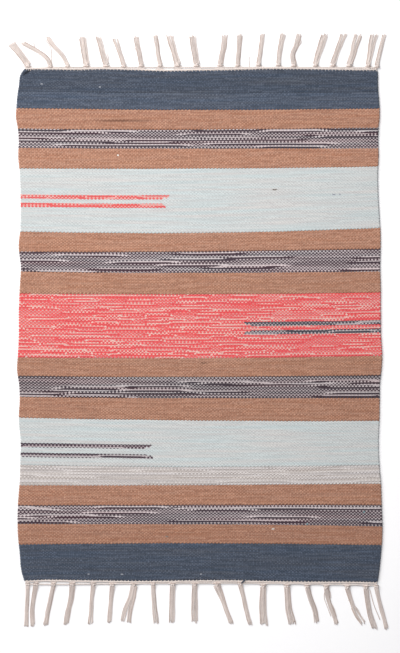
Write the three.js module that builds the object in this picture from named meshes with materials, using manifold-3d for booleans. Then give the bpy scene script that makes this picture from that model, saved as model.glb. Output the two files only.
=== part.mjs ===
// A flat-woven cotton rug that lies on the floor, in millimetres.
// X runs across the rug, Y along it and Z up. The warp ends hang out of both short sides, where they
// are knotted into locks. The origin is the middle of the rug's footprint, on the floor.
import * as THREE from 'three';
import { mergeVertices } from 'three/addons/utils/BufferGeometryUtils.js';
import Module from 'manifold-3d';

const wasm = await Module();
wasm.setup();

// The woven cloth: its nominal size, and how its upper edge is rounded off
const CLOTH_WIDTH = 600;
const CLOTH_LENGTH = 862;
const CLOTH_THICKNESS = 4;
const EDGE_DROP = 1.4;
const EDGE_INSET = 2.2;

// Spacing of the lines that the cloth's upper face is built on
const COLUMN_SPACING = 30;
const ROW_SPACING = 20;
const LEAST_SPACING = 2;
const CORNER_ROWS = [6, 12];

// The cloth's gentle cockle: long shallow waves across and along it
const COCKLE_RISE = 0.35;
const COCKLE_ACROSS = 260;
const COCKLE_ALONG = 330;

// How far each selvedge stands out from the nominal width, going down the rug from its upper end
const SELVEDGES = [
  { down: 0, left: -6, right: -1.5 },
  { down: 10, left: 0.4, right: -0.8 },
  { down: 27, left: 3, right: -0.8 },
  { down: 46, left: 6, right: 0.4 },
  { down: 66, left: 7.6, right: 2 },
  { down: 80, left: 8.4, right: 2 },
  { down: 101, left: 5, right: 0.2 },
  { down: 120, left: 3.6, right: -0.4 },
  { down: 148, left: 4.4, right: 0.4 },
  { down: 172, left: 2.2, right: -0.8 },
  { down: 212, left: 0.6, right: -0.2 },
  { down: 250, left: 0.4, right: 2 },
  { down: 268, left: 0.8, right: 3.2 },
  { down: 300, left: 3.6, right: 3.9 },
  { down: 330, left: 0.2, right: 3 },
  { down: 371, left: 2, right: 3.9 },
  { down: 410, left: 3.6, right: 3.9 },
  { down: 450, left: 3.6, right: 4.4 },
  { down: 484, left: 5.2, right: 6.4 },
  { down: 505, left: 6.4, right: 5.2 },
  { down: 530, left: 3, right: 2.6 },
  { down: 555, left: 1.8, right: 2.2 },
  { down: 588, left: 3.4, right: 1.8 },
  { down: 628, left: 0.4, right: 0.4 },
  { down: 662, left: 1, right: 1.4 },
  { down: 696, left: 2.2, right: 4.2 },
  { down: 730, left: 4.8, right: 5.4 },
  { down: 785, left: 4.8, right: 6.6 },
  { down: 815, left: 1.8, right: 4.4 },
  { down: 845, left: -1.2, right: 1.4 },
  { down: 862, left: -6, right: -1 },
];

// How far each end of the cloth stands out from the nominal length, going across the rug
const END_LINES = [
  { across: -300, upper: -1.6, lower: 0 },
  { across: -250, upper: 0, lower: 0.4 },
  { across: -130, upper: 0.4, lower: -0.8 },
  { across: 0, upper: 0.2, lower: -1.6 },
  { across: 130, upper: 0.4, lower: -1 },
  { across: 240, upper: 0, lower: 0.8 },
  { across: 300, upper: -0.6, lower: 2 },
];

// Soft troughs in the cloth: where each lies, how far it runs, how deep it is and which way it turns
const CREASES = [
  { x: -128, y: 343, halfLength: 44, halfWidth: 4, depth: 0.9, turn: 0 },
  { x: -283, y: 425, halfLength: 9, halfWidth: 3, depth: 0.9, turn: 53 },
  { x: 8, y: -64, halfLength: 7, halfWidth: 3, depth: 0.7, turn: 0 },
];

// The heading is the narrow strip where the bare warp ends leave the cloth and gather into the knots
const PARTING = 0.3;
const HEADING_DEPTH = 3;
const HEADING_HEIGHT = 2.4;
const HEADING_INSET = 3;
const HEADING_SPACING = 40;
const SWAG_REACH = 9;
const SWAG_STEPS = [-1, -0.4, 0.4, 1];
const SWAG_CURVE = 2;

// The knots, and the strands of each lock past its knot. The strands start inside the knot, have
// spread to their full width by a share of their length, and are cut a little unevenly.
const KNOT_WIDTH = 6.4;
const KNOT_LENGTH = 7;
const KNOT_HEIGHT = 5.2;
const KNOT_SINK = 0.5;
const KNOT_SIDES = 8;
const KNOT_RINGS = 4;
const STRAND_START = 2;
const STRAND_PITCH = 2.7;
const STRAND_FILL = 0.8;
const STRAND_HEIGHT = 2.6;
const STRAND_STEPS = 4;
const STRAND_TRIM = 0.025;
const TRIM_TURN = 2;
const SPREAD_BY = 0.7;
const SLOPE_STEP = 0.01;
const STRAND_CORNERS = [
  { side: -1, up: 0 },
  { side: 1, up: 0 },
  { side: 0.6, up: 1 },
  { side: -0.6, up: 1 },
];
const STRAY_WIDTH = 1.2;

// The locks of the upper end, left to right. root is the knot's place across the rug and knot its
// distance from the cloth. third, twoThirds and tip are how far the lock has swung sideways by then,
// reach is how far it comes out from the cloth, and width is its width at the cut end.
const UPPER_LOCKS = [
  { root: -285, knot: 6, third: -9, twoThirds: -18, tip: -27, reach: 44, width: 8.4 },
  { root: -250, knot: 4, third: -5.7, twoThirds: -21, tip: -46, reach: 43, width: 8 },
  { root: -219.5, knot: 4, third: -8, twoThirds: -21.5, tip: -35, reach: 52, width: 9 },
  { root: -189, knot: 5, third: -2.2, twoThirds: -4.2, tip: -6, reach: 52, width: 9.5 },
  { root: -155.5, knot: 5, third: -3.7, twoThirds: -8, tip: -12, reach: 52, width: 8 },
  { root: -125.5, knot: 4, third: -4.2, twoThirds: -9.2, tip: -15, reach: 48.5, width: 10 },
  { root: -98.5, knot: 5, third: -2, twoThirds: -4.4, tip: -6.7, reach: 53.5, width: 8.5 },
  { root: -65.5, knot: 5, third: -1.7, twoThirds: -4, tip: -7.6, reach: 55, width: 7 },
  { root: -34, knot: 5.5, third: -6, twoThirds: -11.4, tip: -16.5, reach: 55, width: 8.5 },
  { root: -1.5, knot: 5.5, third: -4, twoThirds: -7, tip: -9.4, reach: 55, width: 10 },
  { root: 36, knot: 6, third: 1.5, twoThirds: 4.4, tip: 7.6, reach: 55, width: 9 },
  { root: 64.5, knot: 5.5, third: 1, twoThirds: 2.2, tip: 3.4, reach: 57, width: 7.5 },
  { root: 99, knot: 6.5, third: 1.6, twoThirds: 3.8, tip: 6.6, reach: 57, width: 8 },
  { root: 133, knot: 6.5, third: 1.3, twoThirds: 3.6, tip: 7.2, reach: 57, width: 8.5 },
  { root: 163.5, knot: 5, third: -7.2, twoThirds: -1.8, tip: 3.4, reach: 57, width: 8 },
  { root: 195, knot: 5.5, third: 3.9, twoThirds: 9.6, tip: 15, reach: 57, width: 11 },
  { root: 224.5, knot: 6, third: 4.2, twoThirds: 10.8, tip: 17.6, reach: 57, width: 8.5 },
  { root: 252, knot: 5.5, third: 3.4, twoThirds: 8, tip: 14, reach: 57, width: 11.5 },
  { root: 282.5, knot: 5.5, third: 2.4, twoThirds: 6, tip: 11.4, reach: 57, width: 9 },
  { root: 297, knot: 4, third: 3.2, twoThirds: 7, tip: 12, reach: 57, width: 6.7 },
];

// The locks of the lower end, left to right, with the same columns
const LOWER_LOCKS = [
  { root: -289.5, knot: 4, third: -0.8, twoThirds: -1.8, tip: -2.7, reach: 73, width: 6.7 },
  { root: -275.5, knot: 4, third: -4, twoThirds: -6.2, tip: -5.5, reach: 73, width: 7.5 },
  { root: -245.5, knot: 4.5, third: -4.2, twoThirds: -8.6, tip: -12.6, reach: 71.5, width: 7.5 },
  { root: -214.5, knot: 4.5, third: -1.7, twoThirds: -5.4, tip: -8.7, reach: 70, width: 8.4 },
  { root: -178.5, knot: 4, third: -2.4, twoThirds: -3.7, tip: -4.9, reach: 70, width: 7.5 },
  { root: -146.5, knot: 6, third: -2, twoThirds: -3.5, tip: -4.9, reach: 68.5, width: 6.7 },
  { root: -111, knot: 6, third: -3.7, twoThirds: -10.4, tip: -14, reach: 68.5, width: 15 },
  { root: -78, knot: 4.5, third: 0.8, twoThirds: 3.5, tip: 6, reach: 70, width: 10 },
  { root: -45, knot: 6, third: -0.4, twoThirds: -0.8, tip: -1.2, reach: 69.5, width: 9.2 },
  { root: -7.5, knot: 6, third: 0.2, twoThirds: 0.2, tip: 0, reach: 69.5, width: 10 },
  { root: 29, knot: 6, third: 8.4, twoThirds: 15.8, tip: 23, reach: 70.5, width: 8.4 },
  { root: 68.5, knot: 4.5, third: 6.4, twoThirds: 11.3, tip: 18, reach: 72, width: 6.7 },
  { root: 109, knot: 8.5, third: -0.4, twoThirds: 0, tip: 0, reach: 73, width: 11.5 },
  { root: 146.5, knot: 8, third: 1.3, twoThirds: 3.2, tip: 8.7, reach: 71.5, width: 10 },
  { root: 180.5, knot: 8, third: 4.9, twoThirds: 11.4, tip: 15, reach: 68.5, width: 8.4 },
  { root: 213.5, knot: 8.5, third: 3.4, twoThirds: 10.5, tip: 17.5, reach: 70, width: 6.7 },
  { root: 247.5, knot: 8, third: 4.4, twoThirds: 12, tip: 26.4, reach: 68.5, width: 9 },
  { root: 279.5, knot: 8, third: 2.6, twoThirds: 7.4, tip: 14.5, reach: 76.5, width: 10 },
  { root: 296.5, knot: 6, third: 3.6, twoThirds: 9.6, tip: 17.6, reach: 77.5, width: 6.7 },
];

// Single warp ends that have come away from their lock, with the same columns
const UPPER_STRAYS = [
  { root: -287, knot: 4, third: -8.5, twoThirds: -16.5, tip: -29, reach: 35 },
  { root: -248.4, knot: 4, third: -0.8, twoThirds: -2, tip: -12, reach: 50 },
  { root: 83, knot: 0, third: 0.4, twoThirds: -0.4, tip: 0.4, reach: 20 },
];
const LOWER_STRAYS = [
  { root: 211.5, knot: 8, third: -2.4, twoThirds: 3, tip: 9, reach: 58 },
];

// A smooth line through one column of a table
function smoothLine(rows, place, value) {
  const places = rows.map((row) => row[place]);
  const values = rows.map((row) => row[value]);
  const line = new THREE.CubicInterpolant(places, values, 1);
  return (at) => line.evaluate(at)[0];
}

const leftOut = smoothLine(SELVEDGES, 'down', 'left');
const rightOut = smoothLine(SELVEDGES, 'down', 'right');
const upperOut = smoothLine(END_LINES, 'across', 'upper');
const lowerOut = smoothLine(END_LINES, 'across', 'lower');

// The two ends of the rug: which way each points, its edge line and what hangs from it
const UPPER_END = {
  way: 1,
  out: upperOut,
  corner: 0,
  locks: UPPER_LOCKS,
  strays: UPPER_STRAYS,
};
const LOWER_END = {
  way: -1,
  out: lowerOut,
  corner: CLOTH_LENGTH,
  locks: LOWER_LOCKS,
  strays: LOWER_STRAYS,
};

// How far up or down the rug the cloth reaches at a place across it
function clothEnd(end, x) {
  return end.way * (CLOTH_LENGTH / 2 + end.out(x));
}

function leftEdge(down) {
  return -CLOTH_WIDTH / 2 - leftOut(down);
}

function rightEdge(down) {
  return CLOTH_WIDTH / 2 + rightOut(down);
}

function counted(count) {
  return [...Array(count).keys()];
}

// Sorted stations from first to last, with no two of them too close together
function stations(first, last, spacing, extra) {
  const count = Math.round((last - first) / spacing);
  const regular = counted(count + 1).map((step) => first + ((last - first) * step) / count);
  const clear = (at, others) => others.every((other) => Math.abs(at - other) >= LEAST_SPACING);
  const kept = [first, last];
  for (const at of [...extra, ...regular]) {
    if (clear(at, kept) && at > first && at < last) {
      kept.push(at);
    }
  }
  return kept.sort((a, b) => a - b);
}

// How far a crease presses the cloth down at a point
function creaseDepth(crease, x, y) {
  const turn = THREE.MathUtils.degToRad(crease.turn);
  const lengthwise = (x - crease.x) * Math.cos(turn) + (y - crease.y) * Math.sin(turn);
  const crosswise = (y - crease.y) * Math.cos(turn) - (x - crease.x) * Math.sin(turn);
  const fade = (lengthwise / crease.halfLength) ** 2 + (crosswise / crease.halfWidth) ** 2;
  return crease.depth * Math.exp(-fade);
}

// Height of the cloth's upper face above the floor
function clothHeight(x, y) {
  const wave = Math.sin((2 * Math.PI * x) / COCKLE_ACROSS) * Math.cos((2 * Math.PI * y) / COCKLE_ALONG);
  const pressed = CREASES.reduce((sum, crease) => sum + creaseDepth(crease, x, y), 0);
  return CLOTH_THICKNESS + COCKLE_RISE * wave - pressed;
}

// Stations across and down the cloth: regular ones, its rounded rim, and one on each side of a crease
function clothStations() {
  const middle = CLOTH_WIDTH / 2;
  const top = CLOTH_LENGTH / 2;
  const creaseColumns = CREASES.flatMap((c) => [c.x, c.x - c.halfLength, c.x + c.halfLength]);
  const creaseRows = CREASES.flatMap((c) => [c.y, c.y - c.halfWidth, c.y + c.halfWidth]);
  const rims = [EDGE_INSET, ...CORNER_ROWS];
  const columns = stations(0, CLOTH_WIDTH, COLUMN_SPACING, [
    EDGE_INSET,
    CLOTH_WIDTH - EDGE_INSET,
    ...creaseColumns.map((x) => x + middle),
  ]);
  const rows = stations(0, CLOTH_LENGTH, ROW_SPACING, [
    ...rims,
    ...rims.map((inset) => CLOTH_LENGTH - inset),
    ...creaseRows.map((y) => top - y),
  ]);
  return { columns: columns.map((at) => at / CLOTH_WIDTH), rows };
}

const CLOTH_STATIONS = clothStations();

// The point of the cloth's plan at a share of its width and a distance down it
function clothPoint(share, down) {
  const x = THREE.MathUtils.lerp(leftEdge(down), rightEdge(down), share);
  const y = THREE.MathUtils.lerp(clothEnd(UPPER_END, x), clothEnd(LOWER_END, x), down / CLOTH_LENGTH);
  return { x, y };
}

function closedGeometry(positions, triangles) {
  const geometry = new THREE.BufferGeometry();
  geometry.setAttribute('position', new THREE.Float32BufferAttribute(positions, 3));
  geometry.setIndex(triangles);
  return geometry;
}

// The cloth: an upper face on the grid of stations, walls down to the floor and a flat underside
function clothGeometry() {
  const { columns, rows } = CLOTH_STATIONS;
  const wide = columns.length;
  const positions = [];
  const triangles = [];
  const last = rows.length - 1;
  rows.forEach((down, row) => {
    columns.forEach((share, column) => {
      const { x, y } = clothPoint(share, down);
      const isRim = column === 0 || row === 0 || column === wide - 1 || row === last;
      positions.push(x, y, clothHeight(x, y) - (isRim ? EDGE_DROP : 0));
    });
  });
  for (const row of counted(last)) {
    for (const column of counted(wide - 1)) {
      const upperLeft = row * wide + column;
      const lowerLeft = upperLeft + wide;
      triangles.push(upperLeft, lowerLeft, lowerLeft + 1);
      triangles.push(upperLeft, lowerLeft + 1, upperLeft + 1);
    }
  }
  // The rim, counter-clockwise as seen from above: down the left side and up the right one
  const rim = [
    ...counted(last).map((row) => row * wide),
    ...counted(wide - 1).map((column) => last * wide + column),
    ...counted(last).map((row) => (last - row) * wide + wide - 1),
    ...counted(wide - 1).map((column) => wide - 1 - column),
  ];
  const floorStart = positions.length / 3;
  const plan = rim.map((at) => new THREE.Vector2(positions[3 * at], positions[3 * at + 1]));
  plan.forEach((point) => positions.push(point.x, point.y, 0));
  rim.forEach((at, place) => {
    const next = (place + 1) % rim.length;
    triangles.push(at, floorStart + place, floorStart + next);
    triangles.push(at, floorStart + next, rim[next]);
  });
  for (const [a, b, c] of THREE.ShapeUtils.triangulateShape(plan, [])) {
    triangles.push(floorStart + a, floorStart + c, floorStart + b);
  }
  return closedGeometry(positions, triangles);
}

// How far the heading comes out from the cloth: it is drawn out into a small swag at each knot
function headingDepth(end, x) {
  const swags = end.locks.map((lock) => {
    const near = Math.max(0, 1 - Math.abs(x - lock.root) / SWAG_REACH);
    return Math.max(0, lock.knot - HEADING_DEPTH) * near ** SWAG_CURVE;
  });
  return HEADING_DEPTH + Math.max(...swags);
}

// The heading strip, parted from the cloth by a hair's breadth all along
function headingGeometry(end) {
  const first = leftEdge(end.corner) + HEADING_INSET;
  const last = rightEdge(end.corner) - HEADING_INSET;
  const roots = end.locks.map((lock) => lock.root);
  const swagPlaces = roots.flatMap((root) => SWAG_STEPS.map((step) => root + step * SWAG_REACH));
  const outerPlaces = stations(first, last, HEADING_SPACING, [...roots, ...swagPlaces]);
  const rimRow = CLOTH_STATIONS.columns.map((share) => clothPoint(share, end.corner).x);
  const innerPlaces = [first, ...rimRow.filter((x) => x > first && x < last), last];
  const inner = innerPlaces.map((x) => [x, clothEnd(end, x) + end.way * PARTING]);
  const outer = outerPlaces.map((x) => [x, clothEnd(end, x) + end.way * (PARTING + headingDepth(end, x))]);
  const outline = [...inner, ...outer.reverse()].map(([x, y]) => new THREE.Vector2(x, y));
  const shape = new THREE.Shape(outline);
  return new THREE.ExtrudeGeometry(shape, { depth: HEADING_HEIGHT, bevelEnabled: false });
}

// A knot: a squat lump with a flattened underside
function knotGeometry(end, lock) {
  const knot = new THREE.SphereGeometry(1, KNOT_SIDES, KNOT_RINGS);
  knot.rotateX(Math.PI / 2);
  knot.scale(KNOT_WIDTH / 2, KNOT_LENGTH / 2, (KNOT_HEIGHT + KNOT_SINK) / 2);
  const middle = (KNOT_HEIGHT + KNOT_SINK) / 2 - KNOT_SINK;
  knot.translate(lock.root, clothEnd(end, lock.root) + end.way * lock.knot, middle);
  const place = knot.attributes.position;
  for (const at of counted(place.count)) {
    place.setZ(at, Math.max(0, place.getZ(at)));
  }
  return knot;
}

// A four-sided strand that lies flat on the floor along a list of points with widths
function strandGeometry(points) {
  const sides = STRAND_CORNERS.length;
  const lastPoint = points.length - 1;
  const positions = [];
  const triangles = [];
  points.forEach((point, place) => {
    const before = points[Math.max(place - 1, 0)];
    const after = points[Math.min(place + 1, lastPoint)];
    const length = Math.hypot(after.x - before.x, after.y - before.y);
    const leftX = -(after.y - before.y) / length;
    const leftY = (after.x - before.x) / length;
    for (const corner of STRAND_CORNERS) {
      const aside = (corner.side * point.width) / 2;
      positions.push(point.x + leftX * aside, point.y + leftY * aside, corner.up * STRAND_HEIGHT);
    }
  });
  for (const place of counted(lastPoint)) {
    for (const side of counted(sides)) {
      const here = place * sides + side;
      const beside = place * sides + ((side + 1) % sides);
      triangles.push(here, beside, beside + sides);
      triangles.push(here, beside + sides, here + sides);
    }
  }
  const tip = lastPoint * sides;
  triangles.push(0, 2, 1, 0, 3, 2);
  triangles.push(tip, tip + 1, tip + 2, tip, tip + 2, tip + 3);
  return closedGeometry(positions, triangles);
}

// The points of one strand: it follows its lock's swing, and keeps its own place beside the others
function strandPoints(end, lock, lengthShare, place, pitchAtRoot, pitchAtTip) {
  const swing = smoothLine(
    [
      { out: 0, aside: 0 },
      { out: 1 / 3, aside: lock.third },
      { out: 2 / 3, aside: lock.twoThirds },
      { out: 1, aside: lock.tip },
    ],
    'out',
    'aside',
  );
  const length = lock.reach - lock.knot - STRAND_START;
  const rootY = clothEnd(end, lock.root) + end.way * (lock.knot + STRAND_START);
  return counted(STRAND_STEPS + 1).map((step) => {
    const out = (lengthShare * step) / STRAND_STEPS;
    const slope = (swing(out + SLOPE_STEP) - swing(out - SLOPE_STEP)) / (2 * SLOPE_STEP * length);
    const lean = Math.hypot(1, slope);
    const spread = THREE.MathUtils.smoothstep(out, 0, SPREAD_BY);
    const pitch = THREE.MathUtils.lerp(pitchAtRoot, pitchAtTip, spread);
    return {
      x: lock.root + swing(out) + (place * pitch) / lean,
      y: rootY + end.way * (out * length - (place * pitch * slope) / lean),
      width: pitch * STRAND_FILL,
    };
  });
}

// The strands of one lock, side by side, cut a little unevenly
function lockStrands(end, lock) {
  const count = Math.round(lock.width / STRAND_PITCH);
  return counted(count).map((strand) => {
    const place = strand - (count - 1) / 2;
    const lengthShare = 1 + STRAND_TRIM * Math.sin(lock.root + TRIM_TURN * strand);
    return strandGeometry(
      strandPoints(end, lock, lengthShare, place, KNOT_WIDTH / (count + 1), lock.width / count),
    );
  });
}

function strayStrand(end, stray) {
  const pitch = STRAY_WIDTH / STRAND_FILL;
  return strandGeometry(strandPoints(end, stray, 1, 0, pitch, pitch));
}

// One solid from a closed geometry
function solid(geometry) {
  geometry.deleteAttribute('normal');
  geometry.deleteAttribute('uv');
  const merged = mergeVertices(geometry);
  const mesh = new wasm.Mesh({
    numProp: 3,
    vertProperties: new Float32Array(merged.attributes.position.array),
    triVerts: new Uint32Array(merged.index.array),
  });
  return new wasm.Manifold(mesh);
}

// A fringe: the heading with its knots and strands grown onto it
function fringeGeometry(end) {
  const pieces = [
    ...end.locks.flatMap((lock) => [knotGeometry(end, lock), ...lockStrands(end, lock)]),
    ...end.strays.map((stray) => strayStrand(end, stray)),
  ];
  const joined = pieces.reduce((whole, piece) => whole.add(solid(piece)), solid(headingGeometry(end)));
  const mesh = joined.getMesh();
  return closedGeometry(Array.from(mesh.vertProperties), Array.from(mesh.triVerts));
}

function namedMesh(name, geometry, material) {
  const mesh = new THREE.Mesh(geometry, material);
  mesh.name = name;
  return mesh;
}

const dyedCotton = new THREE.MeshStandardMaterial({ color: '#b78a74', roughness: 0.95, metalness: 0 });
const bareCotton = new THREE.MeshStandardMaterial({ color: '#d8cbc0', roughness: 0.95, metalness: 0 });

const rug = new THREE.Group();
rug.add(namedMesh('woven_cloth', clothGeometry(), dyedCotton));
rug.add(namedMesh('fringe_upper', fringeGeometry(UPPER_END), bareCotton));
rug.add(namedMesh('fringe_lower', fringeGeometry(LOWER_END), bareCotton));

// The footprint's middle becomes the origin
const footprint = new THREE.Box3().setFromObject(rug).getCenter(new THREE.Vector3());
rug.position.set(-footprint.x, -footprint.y, 0);

export default rug;
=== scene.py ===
# %% [markdown]
# # A flat-woven cotton rug, thread by thread
#
# The real object is a kilim: a cloth of bare cotton warp threads that run the length of the rug,
# packed with thick dyed weft yarn that runs across it. The weft is beaten down so hard that it
# hides the warp. All that shows is a brick pattern of small weft bumps, each one warp wide and two
# picks tall.
#
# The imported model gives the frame: one flat cloth and two fringes. This lesson weaves the stripes
# bump by bump over that cloth, and ties the fringes strand by strand. Everything is in metres, in
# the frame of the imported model, and the tables below are in millimetres, as a weaver would measure
# them.

from functools import partial

import bpy
import numpy as np
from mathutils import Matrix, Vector


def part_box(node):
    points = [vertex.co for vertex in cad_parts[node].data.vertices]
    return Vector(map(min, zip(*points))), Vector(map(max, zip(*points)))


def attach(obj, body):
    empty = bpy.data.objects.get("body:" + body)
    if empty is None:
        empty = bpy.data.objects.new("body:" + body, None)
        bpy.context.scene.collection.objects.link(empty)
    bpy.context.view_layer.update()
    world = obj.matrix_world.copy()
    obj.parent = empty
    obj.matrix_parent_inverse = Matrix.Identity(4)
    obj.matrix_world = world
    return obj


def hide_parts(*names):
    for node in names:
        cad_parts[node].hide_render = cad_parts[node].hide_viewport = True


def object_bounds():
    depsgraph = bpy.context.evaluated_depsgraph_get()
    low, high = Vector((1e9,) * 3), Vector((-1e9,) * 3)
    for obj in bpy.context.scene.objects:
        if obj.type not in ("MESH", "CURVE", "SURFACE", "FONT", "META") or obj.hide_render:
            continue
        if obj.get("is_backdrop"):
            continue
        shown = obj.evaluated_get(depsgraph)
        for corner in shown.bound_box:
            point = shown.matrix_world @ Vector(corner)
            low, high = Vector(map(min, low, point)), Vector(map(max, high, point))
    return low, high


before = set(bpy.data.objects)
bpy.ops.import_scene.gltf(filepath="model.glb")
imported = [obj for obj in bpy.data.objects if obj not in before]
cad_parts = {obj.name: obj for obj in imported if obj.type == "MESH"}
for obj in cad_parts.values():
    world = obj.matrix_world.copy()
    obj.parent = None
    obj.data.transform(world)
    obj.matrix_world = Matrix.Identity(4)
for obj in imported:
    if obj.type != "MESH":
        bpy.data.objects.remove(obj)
cad_low, cad_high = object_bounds()
MM = 0.001

# %% [markdown]
# ## Helpers for materials and tables
#
# Colours are picked as sRGB hex values, as on a screen, but shaders work in linear light. One
# function turns one into the other. A second one adds a node with its settings and its links, so
# that a material reads as a list of steps. A tuple of inputs fills the sockets in their order, a
# dict fills them by number or name, and the rest keep their defaults. The third gives a table's
# rows the names of their columns.


# %% Colours, nodes and tables
def linear(hex_colour):
    channels = [int(hex_colour[at : at + 2], 16) / 255 for at in (1, 3, 5)]
    return (*[c / 12.92 if c <= 0.04045 else ((c + 0.055) / 1.055) ** 2.4 for c in channels], 1.0)


def add_node(tree, kind, inputs=(), **settings):
    node = tree.nodes.new("ShaderNode" + kind)
    for name, value in settings.items():
        setattr(node, name, value)
    sockets = inputs if isinstance(inputs, dict) else dict(enumerate(inputs))
    for socket, value in sockets.items():
        if isinstance(value, bpy.types.Node):
            value = value.outputs[0]
        if isinstance(value, bpy.types.NodeSocket):
            tree.links.new(value, node.inputs[socket])
        else:
            node.inputs[socket].default_value = value
    return node


def named_rows(columns, rows):
    return [dict(zip(columns.split(), row, strict=True)) for row in rows]


print("a mid grey in linear light:", [round(c, 3) for c in linear("#808080")])

# %% [markdown]
# ## The plan of the cloth
#
# A hand-loomed rug is never a true rectangle. Its selvedges wander in and out by a few millimetres
# and its ends bow. The first two tables are those of the solid model, and a smooth cubic is drawn
# through each column. The third says how far inside that outline the last weft is beaten in, for
# at the ends a strip of bare warp shows.

# %% The outline of the cloth
CLOTH_WIDTH = 600
CLOTH_LENGTH = 862
CLOTH_THICKNESS = 4

# How far down from the upper end, and how far out the left and the right selvedge lie there
SELVEDGES = [
    (0, -6, -1.5), (10, 0.4, -0.8), (27, 3, -0.8), (46, 6, 0.4), (66, 7.6, 2), (80, 8.4, 2),
    (101, 5, 0.2), (120, 3.6, -0.4), (148, 4.4, 0.4), (172, 2.2, -0.8), (212, 0.6, -0.2),
    (250, 0.4, 2), (268, 0.8, 3.2), (300, 3.6, 3.9), (330, 0.2, 3), (371, 2, 3.9),
    (410, 3.6, 3.9), (450, 3.6, 4.4), (484, 5.2, 6.4), (505, 6.4, 5.2), (530, 3, 2.6),
    (555, 1.8, 2.2), (588, 3.4, 1.8), (628, 0.4, 0.4), (662, 1, 1.4), (696, 2.2, 4.2),
    (730, 4.8, 5.4), (785, 4.8, 6.6), (815, 1.8, 4.4), (845, -1.2, 1.4), (862, -6, -1),
]
# How far across from the middle, and how far out the upper and the lower end lie there
END_LINES = [
    (-300, -1.6, 0), (-250, 0, 0.4), (-130, 0.4, -0.8), (0, 0.2, -1.6),
    (130, 0.4, -1), (240, 0, 0.8), (300, -0.6, 2),
]
# The same for how far inside those ends the last weft lies
WOVEN_ENDS = [
    (-300, 0, 2), (-250, 2, 4), (-215, 3, 3), (-170, 2, 2), (-120, 3, 0.8), (-65, 5, 0.6),
    (-10, 4, 1), (60, 2.8, 1), (100, 1.6, 0.4), (150, 1.6, 0), (200, 2.2, 0.5),
    (250, 2.8, 1.4), (300, 2.6, 1),
]


def smooth_line(places, values):
    places, values = np.asarray(places, float), np.asarray(values, float)
    slopes = np.gradient(values, places)

    def line(at):
        at = np.clip(at, places[0], places[-1])
        left = np.clip(np.searchsorted(places, at) - 1, 0, len(places) - 2)
        step = places[left + 1] - places[left]
        t = (at - places[left]) / step
        start = values[left] * (1 - t) ** 2 * (1 + 2 * t) + slopes[left] * step * t * (1 - t) ** 2
        end = values[left + 1] * t**2 * (3 - 2 * t) - slopes[left + 1] * step * t**2 * (1 - t)
        return start + end

    return line


def smooth_columns(table):
    places, *columns = np.array(table, float).T
    return [smooth_line(places, values) for values in columns]


left_out, right_out = smooth_columns(SELVEDGES)
upper_out, lower_out = smooth_columns(END_LINES)
upper_bare, lower_bare = smooth_columns(WOVEN_ENDS)
widest = CLOTH_WIDTH + max(left + right for _, left, right in SELVEDGES)
print("widest part of the cloth:", widest, "mm")

# %% [markdown]
# ## The stripes
#
# Each stripe is a run of picks of one yarn. Counted on the photograph, the rug has about 200 warp
# threads, 3.0 mm apart, and 369 picks, 2.3 mm apart. A stripe's lower edge bows a little, so the
# table holds how far down it lies at the left selvedge, in the middle and at the right selvedge.
# Each lot of yarn takes the dye a little differently: `dye` says how much lighter or darker a
# stripe is drawn. That is partly the lot's own tone and partly painted shade: the tan stripes grow
# darker towards the lower end, where the light falls off. The upper navy stripe changes to a
# lighter lot after 17 picks, so it takes two rows.

# %% Stripes and their yarns
WARPS = 200
STRIPES = named_rows(
    "yarn picks left middle right dye",
    [
        ("navy", 17, 38.5, 41.0, 39.0, 0.96),
        ("navy", 12, 66.6, 69.1, 67.4, 1.146),
        ("tan", 14, 101.0, 102.4, 99.7, 1.035),
        ("melange", 14, 133.0, 134.7, 134.0, 1.0),
        ("tan", 14, 167.3, 168.3, 164.1, 1.075),
        ("pale", 46, 274.2, 275.9, 268.0, 1.02),
        ("tan", 14, 307.8, 307.0, 303.3, 1.05),
        ("melange", 15, 340.7, 343.4, 340.7, 1.06),
        ("tan", 15, 377.7, 379.4, 375.7, 1.02),
        ("coral", 46, 485.8, 486.5, 483.3, 1.0),
        ("tan", 14, 516.4, 517.9, 515.4, 0.97),
        ("melange", 15, 551.4, 554.0, 553.4, 0.86),
        ("tan", 16, 586.2, 591.6, 591.6, 0.96),
        ("pale", 34, 666.4, 669.4, 666.4, 0.98),
        ("greige", 14, 700.7, 699.6, 698.1, 1.0),
        ("tan", 14, 733.9, 733.3, 733.3, 0.97),
        ("melange", 14, 765.0, 765.9, 769.2, 0.985),
        ("tan", 14, 799.7, 798.0, 800.4, 0.92),
        ("navy", 27, 862.0, 862.0, 862.0, 0.985),
    ],
)
FIRST_PICKS = np.cumsum([0] + [stripe["picks"] for stripe in STRIPES])
PICKS = int(FIRST_PICKS[-1])
PICK_PITCH = CLOTH_LENGTH / PICKS
WARP_PITCH = CLOTH_WIDTH / WARPS
print(len(STRIPES), "stripes,", PICKS, "picks,", round(PICK_PITCH, 2), "mm to the pick")

# %% [markdown]
# ## From threads to places
#
# The whole cloth is described in thread numbers: `warp` counts from the left selvedge and `pick`
# from the upper end. Two functions turn those into places. The warp lies a little wider apart on
# the left, and every thread wavers by a fraction of a millimetre, because yarn is never quite
# even. The waver is a sum of smooth sines, which fade out at the edges so that the outline stays
# as measured.

# %% Where a thread lies
WIDER_LEFT = 0.04
FADE_THREADS = 8
# Each sine: its size in mm, how many warps and picks it takes, and where it starts
WAVER_ALONG = [(0.3, 210, 90, 0.0), (0.12, 61, -41, 2.0), (0.08, 23, 17, 4.1)]
WAVER_ACROSS = [(0.5, 90, 61, 1.0), (0.25, 29, -97, 3.0)]


def waver(terms, warp, pick):
    total = 0
    for size, per_warp, per_pick, start in terms:
        total = total + size * np.sin(2 * np.pi * (warp / per_warp + pick / per_pick) + start)
    return total


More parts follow.
